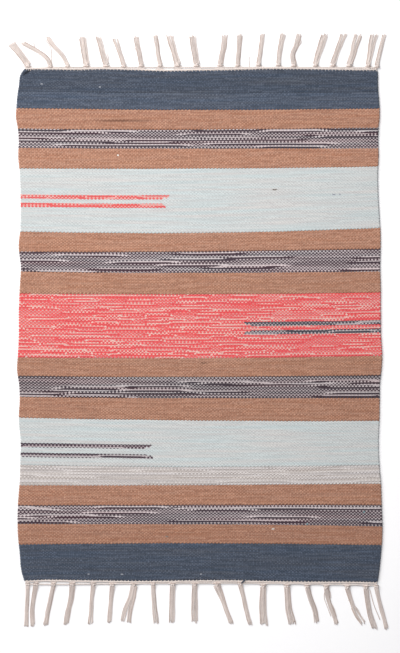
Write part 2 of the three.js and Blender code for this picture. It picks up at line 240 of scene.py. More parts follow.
def cloth_plan(warp, pick):
    share = warp / WARPS
    nominal_x = CLOTH_WIDTH * (share - 0.5)
    lines = [CLOTH_LENGTH / 2 + upper_out(nominal_x) - upper_bare(nominal_x)]
    for stripe in STRIPES[:-1]:
        left, middle, right = stripe["left"], stripe["middle"], stripe["right"]
        slope = 4 * middle - 3 * left - right
        bend = 2 * left - 4 * middle + 2 * right
        lines.append(CLOTH_LENGTH / 2 - (left + slope * share + bend * share**2))
    lines.append(-CLOTH_LENGTH / 2 - lower_out(nominal_x) + lower_bare(nominal_x))
    lines = np.array(lines)
    line_picks = FIRST_PICKS - 0.5
    band = np.clip(np.searchsorted(line_picks, pick) - 1, 0, len(STRIPES) - 1)
    t = ((pick - line_picks[band]) / np.diff(line_picks)[band])[:, None]
    y = lines[band] * (1 - t) + lines[band + 1] * t
    fade = np.clip(np.minimum(pick, PICKS - pick) / FADE_THREADS, 0, 1)[:, None]
    y = y + fade * waver(WAVER_ALONG, warp[None, :], pick[:, None])
    down = CLOTH_LENGTH / 2 - y
    left_edge = -CLOTH_WIDTH / 2 - left_out(down)
    right_edge = CLOTH_WIDTH / 2 + right_out(down)
    place = share + WIDER_LEFT * share * (1 - share)
    x = left_edge + (right_edge - left_edge) * place
    fade_across = np.clip(np.minimum(warp, WARPS - warp) / FADE_THREADS, 0, 1)
    return x + fade_across * waver(WAVER_ACROSS, warp[None, :], pick[:, None]), y


# The tables count from the middle of a true rectangle; the frame, from the middle of the footprint
half_warps = 2 * WARPS + 1
edge_x, edge_y = cloth_plan(
    np.linspace(0, WARPS, half_warps), np.linspace(-0.5, PICKS - 0.5, 2 * PICKS + 1)
)
end_x = np.linspace(-CLOTH_WIDTH / 2, CLOTH_WIDTH / 2, half_warps)
cloth_low, cloth_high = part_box("woven_cloth")
SHIFT_X = (cloth_low[0] + cloth_high[0]) / 2 / MM - (edge_x.min() + edge_x.max()) / 2
reach_up, reach_down = upper_out(end_x).max(), lower_out(end_x).max()
SHIFT_Y = (cloth_low[1] + cloth_high[1]) / 2 / MM - (reach_up - reach_down) / 2
print("woven outline", np.ptp(edge_x).round(1), "x", np.ptp(edge_y).round(1), "mm")
print("the cloth's middle lies at", round(SHIFT_X, 2), round(SHIFT_Y, 2), "mm in the frame")

# %% [markdown]
# ## The height of the cloth
#
# The cloth is about 4 mm thick and lies with a very slight cockle. Three small creases are pressed
# into it. On top of that comes the weave itself. Over each warp, every second pick rises in a bump
# that is one warp wide and two picks tall, and the next warp carries the picks in between. A
# cosine both ways gives such a bump, and a seeded random number makes each a little higher or
# lower than the next.

# %% Creases, cockle and weft bumps
COCKLE_RISE = 0.35
COCKLE_ACROSS = 260
COCKLE_ALONG = 330
CREASES = named_rows(
    "x y half_length half_width depth turn shade",
    [
        (-128, 343, 46, 1.4, 1.7, 0, 0.5),
        (-288, 426, 10, 1.6, 2.4, 39, 0.8),
        (8, -64, 7, 1.8, 0.9, 0, 0.4),
    ],
)
BUMP_HEIGHT = 0.95  # from the middle of a groove to the top of a bump
GROOVE_DEPTH = 0.7  # how far the grooves lie below the nominal thickness
BUMP_SWELL = 0.9  # how far a bump pushes the border to its neighbour aside
BUMP_UNEVEN = 0.12
SELVEDGE_CROWN = 0.8  # how high the loops at the selvedge are, as a share of a bump
bump_luck = np.random.default_rng(11).normal(0, 1, (WARPS, PICKS + 2))


def crease_share(crease, x, y):
    turn = np.radians(crease["turn"])
    from_x, from_y = x - crease["x"], y - crease["y"]
    lengthwise = from_x * np.cos(turn) + from_y * np.sin(turn)
    crosswise = from_y * np.cos(turn) - from_x * np.sin(turn)
    narrow = (crosswise / crease["half_width"]) ** 2
    return np.exp(-((lengthwise / crease["half_length"]) ** 4) - narrow)


def cloth_height(x, y):
    across, along = 2 * np.pi * x / COCKLE_ACROSS, 2 * np.pi * y / COCKLE_ALONG
    height = CLOTH_THICKNESS + COCKLE_RISE * np.sin(across) * np.cos(along)
    for crease in CREASES:
        height = height - crease["depth"] * crease_share(crease, x, y)
    return height


# Painted shade: how much the colour darkens along each crease, by its last column
def crease_shade(x, y):
    shade = np.ones_like(x)
    for crease in CREASES:
        shade = shade * (1 - crease["shade"] * crease_share(crease, x, y))
    return shade


def pick_over(warp_number, pick):
    parity = warp_number % 2
    return 2 * np.round((pick - parity) / 2).astype(int) + parity


def crown(half_columns, pick):
    warp_number = np.clip((half_columns - 1) // 2, 0, WARPS - 1)
    number = pick_over(warp_number[None, :], pick[:, None])
    luck = bump_luck[warp_number[None, :], np.clip(number, 0, PICKS + 1)]
    rise = np.cos(np.pi / 2 * (pick[:, None] - number)) * (1 + BUMP_UNEVEN * luck)
    is_middle = half_columns % 2 == 1
    at_selvedge = (half_columns == 0) | (half_columns == 2 * WARPS)
    return rise * np.where(is_middle, 1.0, np.where(at_selvedge, SELVEDGE_CROWN, 0.0))


print("weft bumps on one face:", WARPS * PICKS // 2)

# %% [markdown]
# ## What marks the yarns
#
# The weft is not one thread but two or three thin strands laid side by side, so a pick of mixed
# yarn shows one colour along its upper half and the other along its lower half until the strands
# roll over. That is what draws the zigzags, dotted rows and short streaks in the mixed stripes.
# The material rebuilds this from the two thread numbers stored on the mesh. It gives each stretch
# of a pick an angle at which its strands lie, and each colour shows on its own side of that angle.
#
# Two strands that turn back at the selvedge come to lie in mirrored order. Like colours of two
# picks then touch and draw thin lines. Where `mirrored` is 0 the weaver has turned them back over,
# every pick has the same order, and they make a fine chequer instead. `stretch` is how many warps
# such an order lasts, `flipped` the share of stretches that lie the other way round, and `loll`
# how far, in radians, the strands roll away from lying side by side. `light_share` is how much of
# the yarn the light strand is, and `softness` how gently the two meet.
#
# `uneven` and `streak` say how far single bumps and whole picks differ in tone, and `groove` how
# dark a painted shade makes a bump at its border, where it dives between its neighbours. In a
# hard-beaten yarn the grooves between picks close up, and only the ribs over the warps are left:
# `ribbed` is how far that has gone. `relief` is how strongly all that is shaded. Lint is a tuft of
# one colour caught in the weave.

# %% Yarn colours and habits
LINT = (0.5, 0.8, 10, 0.5, 0.0, 1, 0.03, 0.0, 0.0, 0.1, 0.45)
YARNS = named_rows(
    "name dark dark_too light light_too light_share softness stretch loll flipped mirrored "
    "uneven streak ribbed groove relief",
    [
        ("navy", "#444a56", "#3f4a5a", "#565c67", "#515b6c",
         0.42, 0.8, 8, 0.7, 0.5, 1, 0.12, 0.03, 0.95, 0.46, 0.45),
        ("tan", "#9f735f", "#a2725b", "#b18773", "#b3866f",
         0.5, 0.8, 10, 0.6, 0.5, 1, 0.09, 0.03, 0.4, 0.38, 0.45),
        ("melange", "#452f38", "#423c44", "#c7b7b8", "#c1babb",
         0.425, 0.28, 36, 0.35, 0.21, 0, 0.06, 0.04, 0.0, 0.2, 0.45),
        ("pale", "#bbb9b8", "#b3bcbd", "#c4c3c1", "#bcc6c7",
         0.5, 0.8, 12, 0.9, 0.5, 1, 0.012, 0.015, 0.0, 0.0, 0.12),
        ("coral", "#d95153", "#d5565a", "#ddb9af", "#dab3ab",
         0.35, 0.58, 14, 0.45, 0.35, 0, 0.05, 0.02, 0.0, 0.15, 0.45),
        ("coral_line", "#d55b5a", "#d05e5e", "#d8a09a", "#d8a8a2",
         0.4, 0.5, 16, 0.9, 0.5, 1, 0.04, 0.03, 0.0, 0.12, 0.45),
        ("plum_line", "#42313c", "#433b45", "#b6a8ab", "#b1aeaf",
         0.37, 0.4, 26, 0.4, 0.2, 0, 0.06, 0.04, 0.0, 0.2, 0.45),
        ("greige", "#aea5a0", "#aba5a3", "#ccc5c0", "#c9c4c4",
         0.5, 0.55, 40, 0.45, 0.35, 0, 0.03, 0.03, 0.0, 0.12, 0.45),
        ("white_lint", "#d2cdc7", "#d2cdc7", "#ddd9d4", "#ddd9d4", *LINT),
        ("dark_lint", "#69615c", "#69615c", "#817872", "#817872", *LINT),
        ("teal_lint", "#436d73", "#436d73", "#779b9f", "#779b9f", *LINT),
        ("grey_lint", "#7c7f86", "#7c7f86", "#999ca5", "#999ca5", *LINT),
        ("slate_line", "#3f404b", "#413d45", "#b8acae", "#ada8a9",
         0.44, 0.4, 24, 0.5, 0.35, 0, 0.06, 0.04, 0.0, 0.2, 0.45),
    ],
)
print(len(YARNS), "yarns and lints")

# %% [markdown]
# ## The surface of cotton
#
# Cotton is matt: roughness near 0.9, IOR 1.53 for cellulose with little specular, and a touch of
# sheen from loose fibres. Every material of the rug starts from this one. These numbers are the
# same all over, so they are set on the shader's own sockets, where the export finds them.

# %% Cotton
COTTON = {"Roughness": 0.9, "IOR": 1.53, "Specular IOR Level": 0.25, "Sheen Roughness": 0.5}


def cotton_material(name, sheen):
    material = bpy.data.materials.new(name)
    material.use_nodes = True
    shader = material.node_tree.nodes["Principled BSDF"]
    for socket, value in {**COTTON, "Sheen Weight": sheen}.items():
        shader.inputs[socket].default_value = value
    return material, material.node_tree, shader


print("cotton:", COTTON)

# %% [markdown]
# ## Which bump a point lies on
#
# The mesh stores `warp` and `pick` at every point. Rounded to whole numbers they name the warp
# that the bump passes over and the pick that it belongs to, because the bumps of odd warps are
# those of odd picks. What is left over says where on the bump the point lies, `aside` and `along`
# from its middle.


# %% Nodes that find the bump
def bump_under(add):
    warp = add("Attribute", attribute_name="warp").outputs["Fac"]
    pick = add("Attribute", attribute_name="pick").outputs["Fac"]
    column = add("Math", (warp,), operation="FLOOR")
    in_warp = add("Math", (warp, column), operation="SUBTRACT")
    aside = add("Math", (in_warp, 0.5), operation="SUBTRACT")
    parity = add("Math", (column, 2.0), operation="MODULO")
    from_parity = add("Math", (pick, parity), operation="SUBTRACT")
    pairs = add("Math", (from_parity, 0.5), operation="MULTIPLY")
    whole_pairs = add("Math", (pairs,), operation="ROUND")
    number = add("Math", (whole_pairs, 2.0, parity), operation="MULTIPLY_ADD")
    along = add("Math", (pick, number), operation="SUBTRACT")
    return warp, pick, column, parity, number, aside, along


print("warp 3.4 at pick 6.8 lies on the bump of pick", pick_over(3, 6.8))

# %% [markdown]
# ## How the strands lie
#
# White noise of the stretch and the pick draws the angle of each stretch, always the same for the
# same numbers. Near the end of a stretch the strands roll over into the next one, which a smooth
# step blends. The cosine of the angle to the point says which strand faces up there.

# %% Nodes that turn the strands
ROLL_SHARE = 0.3  # how much of a stretch the strands take to roll over to the next
START_SPREAD = 50.0  # so many stretches apart the picks may start
SECOND_DRAW = 7.0  # the fraction of this many times a random number is another one


def stretch_angle(add, stretch_number, number, mirrored, round_back, yarn, seed):
    place = add("CombineXYZ", (stretch_number, number, seed + 0.5))
    luck = add("TexWhiteNoise", {"Vector": place})
    flipped = add("Math", (luck, yarn["flipped"]), operation="LESS_THAN")
    order = add("Math", (flipped, -2.0, 1.0), operation="MULTIPLY_ADD")
    side = add("Math", (order, mirrored), operation="MULTIPLY")
    sevenfold = add("Math", (luck, SECOND_DRAW), operation="MULTIPLY")
    more_luck = add("Math", (sevenfold,), operation="FRACT")
    loll = yarn["loll"]
    lean = add("Math", (more_luck, 2 * loll, np.pi / 2 - loll), operation="MULTIPLY_ADD")
    angle = add("Math", (lean, side), operation="MULTIPLY")
    negative = add("Math", (side, -0.5, 0.5), operation="MULTIPLY_ADD")
    return add("Math", (negative, round_back, angle), operation="MULTIPLY_ADD")


def strand_angle(add, warp, parity, number, yarn, seed):
    pick_place = add("CombineXYZ", (number, float(seed)))
    pick_luck = add("TexWhiteNoise", {"Vector": pick_place})
    pick_start = add("Math", (pick_luck, START_SPREAD), operation="MULTIPLY")
    stretch = add("Math", (warp, 1 / yarn["stretch"], pick_start), operation="MULTIPLY_ADD")
    stretch_number = add("Math", (stretch,), operation="FLOOR")
    next_number = add("Math", (stretch_number, 1.0), operation="ADD")
    in_stretch = add("Math", (stretch, stretch_number), operation="SUBTRACT")
    moved = add("MapRange", (in_stretch, 1 - ROLL_SHARE), interpolation_type="SMOOTHSTEP")
    turned = -2.0 * yarn["mirrored"]
    mirrored = add("Math", (parity, turned, 1.0), operation="MULTIPLY_ADD")
    by_half = add("Math", (pick_luck, 0.5), operation="LESS_THAN")
    round_back = add("Math", (by_half, 2 * np.pi), operation="MULTIPLY")
    here = stretch_angle(add, stretch_number, number, mirrored, round_back, yarn, seed)
    there = stretch_angle(add, next_number, number, mirrored, round_back, yarn, seed)
    return add("Mix", {0: moved, 2: here, 3: there}, data_type="FLOAT")


def light_on_top(add, over, angle, yarn):
    between = add("Math", (over, angle), operation="SUBTRACT")
    facing = add("Math", (between,), operation="COSINE")
    cutoff, softness = float(np.cos(np.pi * yarn["light_share"])), yarn["softness"]
    edges = (facing, cutoff - softness, cutoff + softness)
    return add("MapRange", edges, interpolation_type="SMOOTHSTEP")


print("a melange strand lies one way for", YARNS[2]["stretch"] * WARP_PITCH, "mm")

# %% [markdown]
# ## Hues and tones
#
# Both strands drift between two hues, `dark` and `dark_too`, `light` and `light_too`, over some
# sixty warps and a few picks, as hand-dyed yarn does. In the pale yarn they draw the faint aqua
# and cream streaks. Slow noise does this, stretched along the yarn by giving it the place in
# patches. Bumps differ a little from one another, whole picks do too, and each stripe has its own
# dye lot.

# %% Nodes for hue and tone
PATCH_WARPS = 60
PATCH_PICKS = 2.5
PATCH_EDGES = (0.35, 0.65)
STREAK_WARPS = 30
STREAK_APART = 2.7  # noise cells from one pick to the next, so that neighbours differ
STREAK_EDGES = (0.25, 0.75)


def strand_colour(add, warp, pick, light_up, yarn, seed):
    slow_warp = add("Math", (warp, 1 / PATCH_WARPS), operation="MULTIPLY")
    slow_pick = add("Math", (pick, 1 / PATCH_PICKS), operation="MULTIPLY")
    place = add("CombineXYZ", (slow_warp, slow_pick, 10.0 * seed))
    dye = add("TexNoise", {"Vector": place, "Scale": 1.0, "Detail": 3.0})
    drift = add("MapRange", (dye, *PATCH_EDGES))
    strands = []
    for name in ("dark", "light"):
        hues = {0: drift, 6: linear(yarn[name]), 7: linear(yarn[name + "_too"])}
        strands.append(add("Mix", hues, data_type="RGBA").outputs[2])
    both = add("Mix", {0: light_up, 6: strands[0], 7: strands[1]}, data_type="RGBA")
    return both.outputs[2]


def bump_and_streak_tones(add, warp, column, number, yarn, seed):
    bump_place = add("CombineXYZ", (column, number, float(seed)))
    luck = add("TexWhiteNoise", {"Vector": bump_place})
    uneven, streak = yarn["uneven"], yarn["streak"]
    bump_tone = add("MapRange", (luck, 0.0, 1.0, 1 - uneven, 1 + uneven))
    far_pick = add("Math", (number, STREAK_APART), operation="MULTIPLY")
    slow_warp = add("Math", (warp, 1 / STREAK_WARPS), operation="MULTIPLY")
    place = add("CombineXYZ", (slow_warp, far_pick, 3.0 * seed))
    noise = add("TexNoise", {"Vector": place, "Scale": 1.0, "Detail": 2.0})
    return bump_tone, add("MapRange", (noise, *STREAK_EDGES, 1 - streak, 1 + streak))


print("hues drift over", PATCH_WARPS * WARP_PITCH, "by", round(PATCH_PICKS * PICK_PITCH, 1), "mm")

# %% [markdown]
# ## One woven yarn
#
# The last nodes shade the bump. Its colour gets a painted shade where it dives into the groove
# beside its neighbours, and fine furrows between the fibres run aslant over it, three to the
# warp, 1 mm apart. Then the tones are multiplied together and into the colour.

# %% One woven yarn as a material
YARN_SHEEN = 0.08
GROOVE_ENDS = 0.5  # where on the bump's height the groove's shade ends
FURROWS = 3
FURROW_SLANT = 0.6
FURROW_HEIGHT = 0.12
RELIEF_MM = 0.6


def ridge_and_relief(add, warp, over, aside, along, yarn):
    aside_turn = add("Math", (aside, np.pi), operation="MULTIPLY")
    aside_rise = add("Math", (aside_turn,), operation="COSINE")
    along_rise = add("Math", (over,), operation="COSINE")
    rise = add("Math", (aside_rise, along_rise), operation="MULTIPLY")
    ridge = add("Mix", {0: yarn["ribbed"], 2: rise, 3: aside_rise}, data_type="FLOAT")
    slant = add("Math", (along, FURROW_SLANT, warp), operation="MULTIPLY_ADD")
    furrow_turn = add("Math", (slant, 2 * np.pi * FURROWS), operation="MULTIPLY")
    furrow = add("Math", (furrow_turn,), operation="SINE")
    height = add("Math", (furrow, FURROW_HEIGHT, ridge), operation="MULTIPLY_ADD")
    shape = {"Strength": yarn["relief"], "Distance": RELIEF_MM * MM, "Height": height}
    return ridge, add("Bump", shape)


def woven_yarn(yarn, seed):
    material, tree, shader = cotton_material(yarn["name"] + "_cotton", YARN_SHEEN)
    add = partial(add_node, tree)
    warp, pick, column, parity, number, aside, along = bump_under(add)
    over = add("Math", (along, np.pi / 2), operation="MULTIPLY")
    angle = strand_angle(add, warp, parity, number, yarn, seed)
    light_up = light_on_top(add, over, angle, yarn)
    strands = strand_colour(add, warp, pick, light_up, yarn, seed)
    tone, streak_tone = bump_and_streak_tones(add, warp, column, number, yarn, seed)
    ridge, relief = ridge_and_relief(add, warp, over, aside, along, yarn)
    # Painted shade: the colour darkens towards the border of each bump
    shade = (ridge, 0.0, GROOVE_ENDS, 1 - yarn["groove"], 1.0)
    painted_groove_shade = add("MapRange", shade, interpolation_type="SMOOTHSTEP")
    # The stripe's colour scale times the painted shade along the creases
    dye_and_painted_shade = add("Attribute", attribute_name="dye_and_painted_shade").outputs["Fac"]
    for other_tone in (streak_tone, painted_groove_shade, dye_and_painted_shade):
        tone = add("Math", (tone, other_tone), operation="MULTIPLY")
    colour = add("VectorMath", {0: strands, "Scale": tone}, operation="SCALE")
    tree.links.new(colour.outputs[0], shader.inputs["Base Color"])
    tree.links.new(relief.outputs[0], shader.inputs["Normal"])
    return material


yarn_materials = {yarn["name"]: woven_yarn(yarn, seed) for seed, yarn in enumerate(YARNS)}
print("woven materials:", list(yarn_materials))

# %% [markdown]
# ## Lines and flecks woven into a stripe
#
# Three of the wide stripes carry two short lines each. The weaver lays in three picks of another
# yarn from the selvedge and turns them back before the middle, so a line ends in a small step or
# point. The first table names the stripe, the yarn, the first of the three picks within the
# stripe, and the warps between which each pick shows. A few flecks of lint are caught in the yarn
# as well; those are given by where they lie.

# %% Inlaid lines and lint
LINES = [
    (5, "coral_line", 19, [(0, 82), (0, 81), (0, 78)]),
    (5, "coral_line", 25, [(0, 77), (0, 79), (0, 80)]),
    (9, "slate_line", 20, [(123, 200), (124, 200), (127, 200)]),
    (9, "slate_line", 26, [(127, 200), (124, 200), (123, 200)]),
    (13, "plum_line", 18, [(0, 72), (0, 71), (0, 68)]),
    (13, "plum_line", 25, [(0, 69), (0, 72), (0, 73)]),
]
INLAYS = [
    {"pick": int(FIRST_PICKS[stripe]) + first + row, "start": start, "end": end, "yarn": yarn}
    for stripe, yarn, first, reaches in LINES
    for row, (start, end) in enumerate(reaches)
]
FLECKS = named_rows(
    "across down length yarn",
    [
        (-137.2, 145.6, 3, "white_lint"),
        (125.9, 203.6, 8, "dark_lint"),
        (225.7, 211.6, 5, "grey_lint"),
        (235.6, 211.0, 3, "grey_lint"),
        (276.4, 744.9, 3, "teal_lint"),
        (180.5, 764.4, 3, "teal_lint"),
        (-54.8, 786.0, 4, "dark_lint"),
        (123.4, 773.4, 3, "white_lint"),
        (-265.0, 25.9, 3, "grey_lint"),
        (-167.5, 30.9, 3, "grey_lint"),
        (-186.8, 849.1, 3, "grey_lint"),
        (-130.4, 849.1, 3, "grey_lint"),
        (2.4, 849.1, 3, "grey_lint"),
    ],
)
FLECK_TALL = 2.4
print(len(INLAYS), "inlaid picks and", len(FLECKS), "flecks")

# %% [markdown]
# ## Weaving one stripe
#
# A stripe's mesh is a grid with two columns to the warp and two rows to the pick, so each bump has
# a middle and a border. A stripe ends in teeth, because its last pick passes over every second
# warp only, and the next stripe's first pick fills the gaps. Beaten together, the teeth of both
# stripes are a little shorter than a whole pick.

# %% Teeth
TOOTH_PULL = 0.3  # how much shorter, as a share of a pick


def colour_changes():
    changes = [(pick, 0, WARPS) for pick in FIRST_PICKS[1:-1]]
    inlaid = {inlay["pick"] for inlay in INLAYS}
    for inlay in INLAYS:
        for beside, change in ((inlay["pick"] - 1, inlay["pick"]), (inlay["pick"] + 1,) * 2):
            if beside not in inlaid:
                changes.append((change, inlay["start"], inlay["end"]))
    return changes


def tooth_pull(inner, picks):
    pull = np.zeros((len(picks), len(inner)))
    is_border = inner % 2 == 0
    parity = (inner // 2) % 2
    for pick, start, end in colour_changes():
        reached = (inner >= 2 * start) & (inner <= 2 * end)
        tips = reached & (is_border | (parity == pick % 2))
        valleys = reached & (is_border | (parity != pick % 2))
        pull[np.ix_(np.isclose(picks, pick - 1), tips)] = -TOOTH_PULL * PICK_PITCH
        pull[np.ix_(np.isclose(picks, pick), valleys)] = TOOTH_PULL * PICK_PITCH
    return pull


print("changes of colour between picks:", len(colour_changes()))

# %% [markdown]
# ## The woven face
#
# The plan gives x and y, and the bumps give z. The weft turns back round the outermost warp, so
# the mesh gets one more column at each side: it bulges out in a loop beside each bump and drops
# towards the floor. Faces are kept only where the bump under them belongs to this stripe. Faces on
# an inlaid pick or a fleck take that yarn instead.

# %% The upper face of a stripe
RIM_BULGE = 0.8
RIM_DROP = 1.9
RIM_INSET = 0.4
END_DROP = 0.7


def woven_face(picks):
    inner = np.clip(np.arange(-1, 2 * WARPS + 2), 0, 2 * WARPS)
    x, y = cloth_plan(inner / 2, picks)
    rise = crown(inner, picks)
    z = cloth_height(x, y) - GROOVE_DEPTH + BUMP_HEIGHT * rise
    is_border = (inner % 2 == 0) & (inner > 0) & (inner < 2 * WARPS)
    swell = BUMP_SWELL * np.cos(np.pi * (picks[:, None] - (inner // 2 - 1)[None, :]))
    x += np.where(is_border[None, :], swell, 0)
    y += tooth_pull(inner, picks)
    z[(picks < 0) | (picks > PICKS - 1)] -= END_DROP
    for rim, beside, outwards in ((0, 1, -1), (-1, -2, 1)):
        x[:, beside] -= outwards * RIM_INSET
        z[:, beside] -= RIM_INSET
        x[:, rim] += outwards * RIM_BULGE * rise[:, rim]
        z[:, rim] -= RIM_DROP
    return inner / 2, x, y, z


def yarns_of_cells(index, x, y, kept, cell_warp, cell_pick):
    middle_x = (x[:-1, :-1] + x[1:, 1:]) / 2
    middle_down = CLOTH_LENGTH / 2 - (y[:-1, :-1] + y[1:, 1:]) / 2
    spots = []
    for inlay in INLAYS:
        reached = (cell_warp >= inlay["start"]) & (cell_warp < inlay["end"])
        spots.append((inlay["yarn"], (cell_pick == inlay["pick"]) & reached))
    for fleck in FLECKS:
        near = np.abs(middle_x - fleck["across"]) <= fleck["length"] / 2
        near = near & (np.abs(middle_down - fleck["down"]) <= FLECK_TALL / 2)
        spots.append((fleck["yarn"], near))
    names = [STRIPES[index]["yarn"]]
    numbers = np.zeros(kept.shape, int)
    for yarn, spot in spots:
        if (kept & spot).any():
            if yarn not in names:
                names.append(yarn)
            numbers[spot] = names.index(yarn)
    return names, numbers[kept]


print("a loop at the selvedge stands out", RIM_BULGE * SELVEDGE_CROWN, "mm")

# %% [markdown]
# ## Closing the stripe
#
# Walls and an underside close the mesh. The underside rests on the floor and needs few faces, so a
# small function zips the fine edge of the face to a coarse one, always taking the step that comes
# next. Walls are made of triangles, and are left without smooth shading.

# %% Walls and underside
UNDER_INSET = 0.8
UNDER_WARPS = 4
UNDER_PICKS = 4


def zip_edges(fine, fine_at, coarse, coarse_at, flip):
    triangles = []
    here = there = 0
    while here < len(fine) - 1 or there < len(coarse) - 1:
        coarse_done = there == len(coarse) - 1
        if coarse_done or (here < len(fine) - 1 and fine_at[here + 1] <= coarse_at[there + 1]):
            triangle = (fine[here], fine[here + 1], coarse[there])
            here += 1
        else:
            triangle = (fine[here], coarse[there + 1], coarse[there])
            there += 1
        triangles.append(triangle[::-1] if flip else triangle)
    return triangles


def toothed_line(cell_rows):
    line = [(cell_rows[0], 0)]
    for cell, row in enumerate(cell_rows):
        last = line[-1][0]
        step = 1 if row > last else -1
        line += [(between, cell) for between in range(last + step, row + step, step) if row != last]
        line.append((row, cell + 1))
    return line


def walls(ids, under_ids, kept, places, under_places):
    (warps, picks), (under_warps, under_picks) = places, under_places
    highest = kept.argmax(axis=0)
    lowest = len(picks) - 1 - kept[::-1].argmax(axis=0)
    found = []
    for cell_rows, edge, flip in ((highest, 0, False), (lowest, -1, True)):
        rows, columns = np.transpose(toothed_line(cell_rows.tolist()))
        found += zip_edges(ids[rows, columns], warps[columns], under_ids[edge], under_warps, flip)
    for side, flip in ((0, True), (-1, False)):
        rows = np.arange(highest[side], lowest[side] + 1)
        found += zip_edges(ids[rows, side], picks[rows], under_ids[:, side], under_picks, flip)
    return found


def underside(first, last):
    warps = np.arange(0.0, WARPS + 1, UNDER_WARPS)
    picks = np.linspace(first - 0.5, last + 0.5, max(2, (last - first) // UNDER_PICKS + 2))
    x, y = cloth_plan(warps, picks)
    x[:, 0] += UNDER_INSET
    x[:, -1] -= UNDER_INSET
    return warps, picks, x, y


print("teeth of three cells:", toothed_line([0, 2, 0]))

# %% [markdown]
# ## From arrays to a mesh
#
# A mesh of ten thousand faces or more is quickest filled through flat arrays: the points, the
# corners of all faces one after another, and where each face starts. The marks that the materials
# read are stored as attributes on the points.

# %% The mesh of a stripe
RIM_WARP = 0.2  # the loops at a selvedge are marked as lying this far inside it


def add_mark(mesh, name, values):
    kind, field = ("FLOAT", "value") if values.ndim == 1 else ("FLOAT_VECTOR", "vector")
    layer = mesh.attributes.new(name, kind, "POINT")
    layer.data.foreach_set(field, values.ravel().astype(np.float32))


def filled_mesh(name, points, quads, triangles, marks):
    used, corners = np.unique(np.append(quads, triangles), return_inverse=True)
    sizes = np.repeat([4, 3], [len(quads), len(triangles)])
    mesh = bpy.data.meshes.new(name)
    mesh.vertices.add(len(used))
    mesh.vertices.foreach_set("co", points[used].ravel().astype(np.float32))
    mesh.loops.add(len(corners))
    mesh.loops.foreach_set("vertex_index", corners.astype(np.int32))
    mesh.polygons.add(len(sizes))
    mesh.polygons.foreach_set("loop_start", (np.cumsum(sizes) - sizes).astype(np.int32))
    mesh.polygons.foreach_set("use_smooth", sizes == 4)
    mesh.update(calc_edges=True)
    for mark, values in marks.items():
        add_mark(mesh, mark, values[used])
    return mesh


def stripe_mesh(name, index):
    first, last = int(FIRST_PICKS[index]), int(FIRST_PICKS[index + 1]) - 1
    picks = np.arange(2 * (first - 1), 2 * (last + 1) + 1) / 2
    warps, x, y, z = woven_face(picks)
    cell_warp = np.clip(np.arange(-1, 2 * WARPS + 1) // 2, 0, WARPS - 1)[None, :]
    cell_pick = pick_over(cell_warp, ((picks[:-1] + picks[1:]) / 2)[:, None])
    kept = (cell_pick >= first) & (cell_pick <= last)
    yarn_names, yarn_numbers = yarns_of_cells(index, x, y, kept, cell_warp, cell_pick)

    ids = np.arange(x.size).reshape(x.shape)
    facing_up = np.stack([ids[:-1, :-1], ids[1:, :-1], ids[1:, 1:], ids[:-1, 1:]], axis=-1)
    under_warps, under_picks, under_x, under_y = underside(first, last)
    under = x.size + np.arange(under_x.size).reshape(under_x.shape)
    corners = [under[:-1, :-1], under[:-1, 1:], under[1:, 1:], under[1:, :-1]]
    facing_down = np.stack(corners, axis=-1).reshape(-1, 4)
    quads = np.concatenate([facing_up[kept], facing_down])
    triangles = walls(ids, under, kept, (warps, picks), (under_warps, under_picks))

    def joined(upper, lower):
        upper, lower = np.broadcast_to(upper, x.shape), np.broadcast_to(lower, under_x.shape)
        return np.append(upper, lower)

    points = np.stack([joined(x, under_x), joined(y, under_y), joined(z, 0)], axis=-1)
    # The stripe's colour scale: its lot's own tone, and painted shade on the lower stripes
    dye = STRIPES[index]["dye"]
    marks = {
        "warp": np.clip(joined(warps, under_warps), RIM_WARP, WARPS - RIM_WARP),
        "pick": joined(picks[:, None], under_picks[:, None]),
        # painted shade: the colour darkened along the creases, times the stripe's scale
        "dye_and_painted_shade": dye * joined(crease_shade(x, y), 1),
    }
    mesh = filled_mesh(name, (points + (SHIFT_X, SHIFT_Y, 0)) * MM, quads, triangles, marks)
    for yarn_name in yarn_names:
        mesh.materials.append(yarn_materials[yarn_name])
    slots = np.zeros(len(mesh.polygons), np.int32)
    slots[: len(yarn_numbers)] = yarn_numbers
    mesh.polygons.foreach_set("material_index", slots)
    return mesh


print("rows in the first stripe's mesh:", 2 * (int(FIRST_PICKS[1]) + 1) + 1)

# %% [markdown]
# ## Weaving the cloth
#
# Every piece rides on the rug's one body and stands for a part of the solid model. One function
# says so for each.


# %% Weave all the stripes
def add_object(name, data):
    made = bpy.data.objects.new(name, data)
    bpy.context.scene.collection.objects.link(made)
    return made


def add_piece(name, mesh, stands_for):
    piece = add_object(name, mesh)
    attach(piece, "root")
    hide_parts(stands_for)
    return piece


for index, stripe in enumerate(STRIPES):
    name = f"stripe_{index + 1:02d}_{stripe['yarn']}"
    mesh = stripe_mesh(name, index)
    add_piece(name, mesh, "woven_cloth")

# %% [markdown]
# ## The fringe
#
# At each end the bare warp threads leave the cloth. Their roots are held by two cords twined along
# the last pick, and then ten or so threads at a time gather into an overhand knot. Past the knot
# they hang free as a lock. The rug lies on a floor, so each lock lies flat, in two layers of
# threads. The tables hold the same locks as the solid model, measured once more and closer up, so
# that a row may differ by a few millimetres: where a lock is rooted, how far out its knot sits,
# how far it has swung aside a third and two thirds of the way and at its tip, how far it reaches,
# its width there and at its root. Where a lock has come apart in two, its row also holds the gap
# between the halves at the tip. The loose threads that have strayed from their lock are drawn
# through a few points each: across, and out from the cloth.

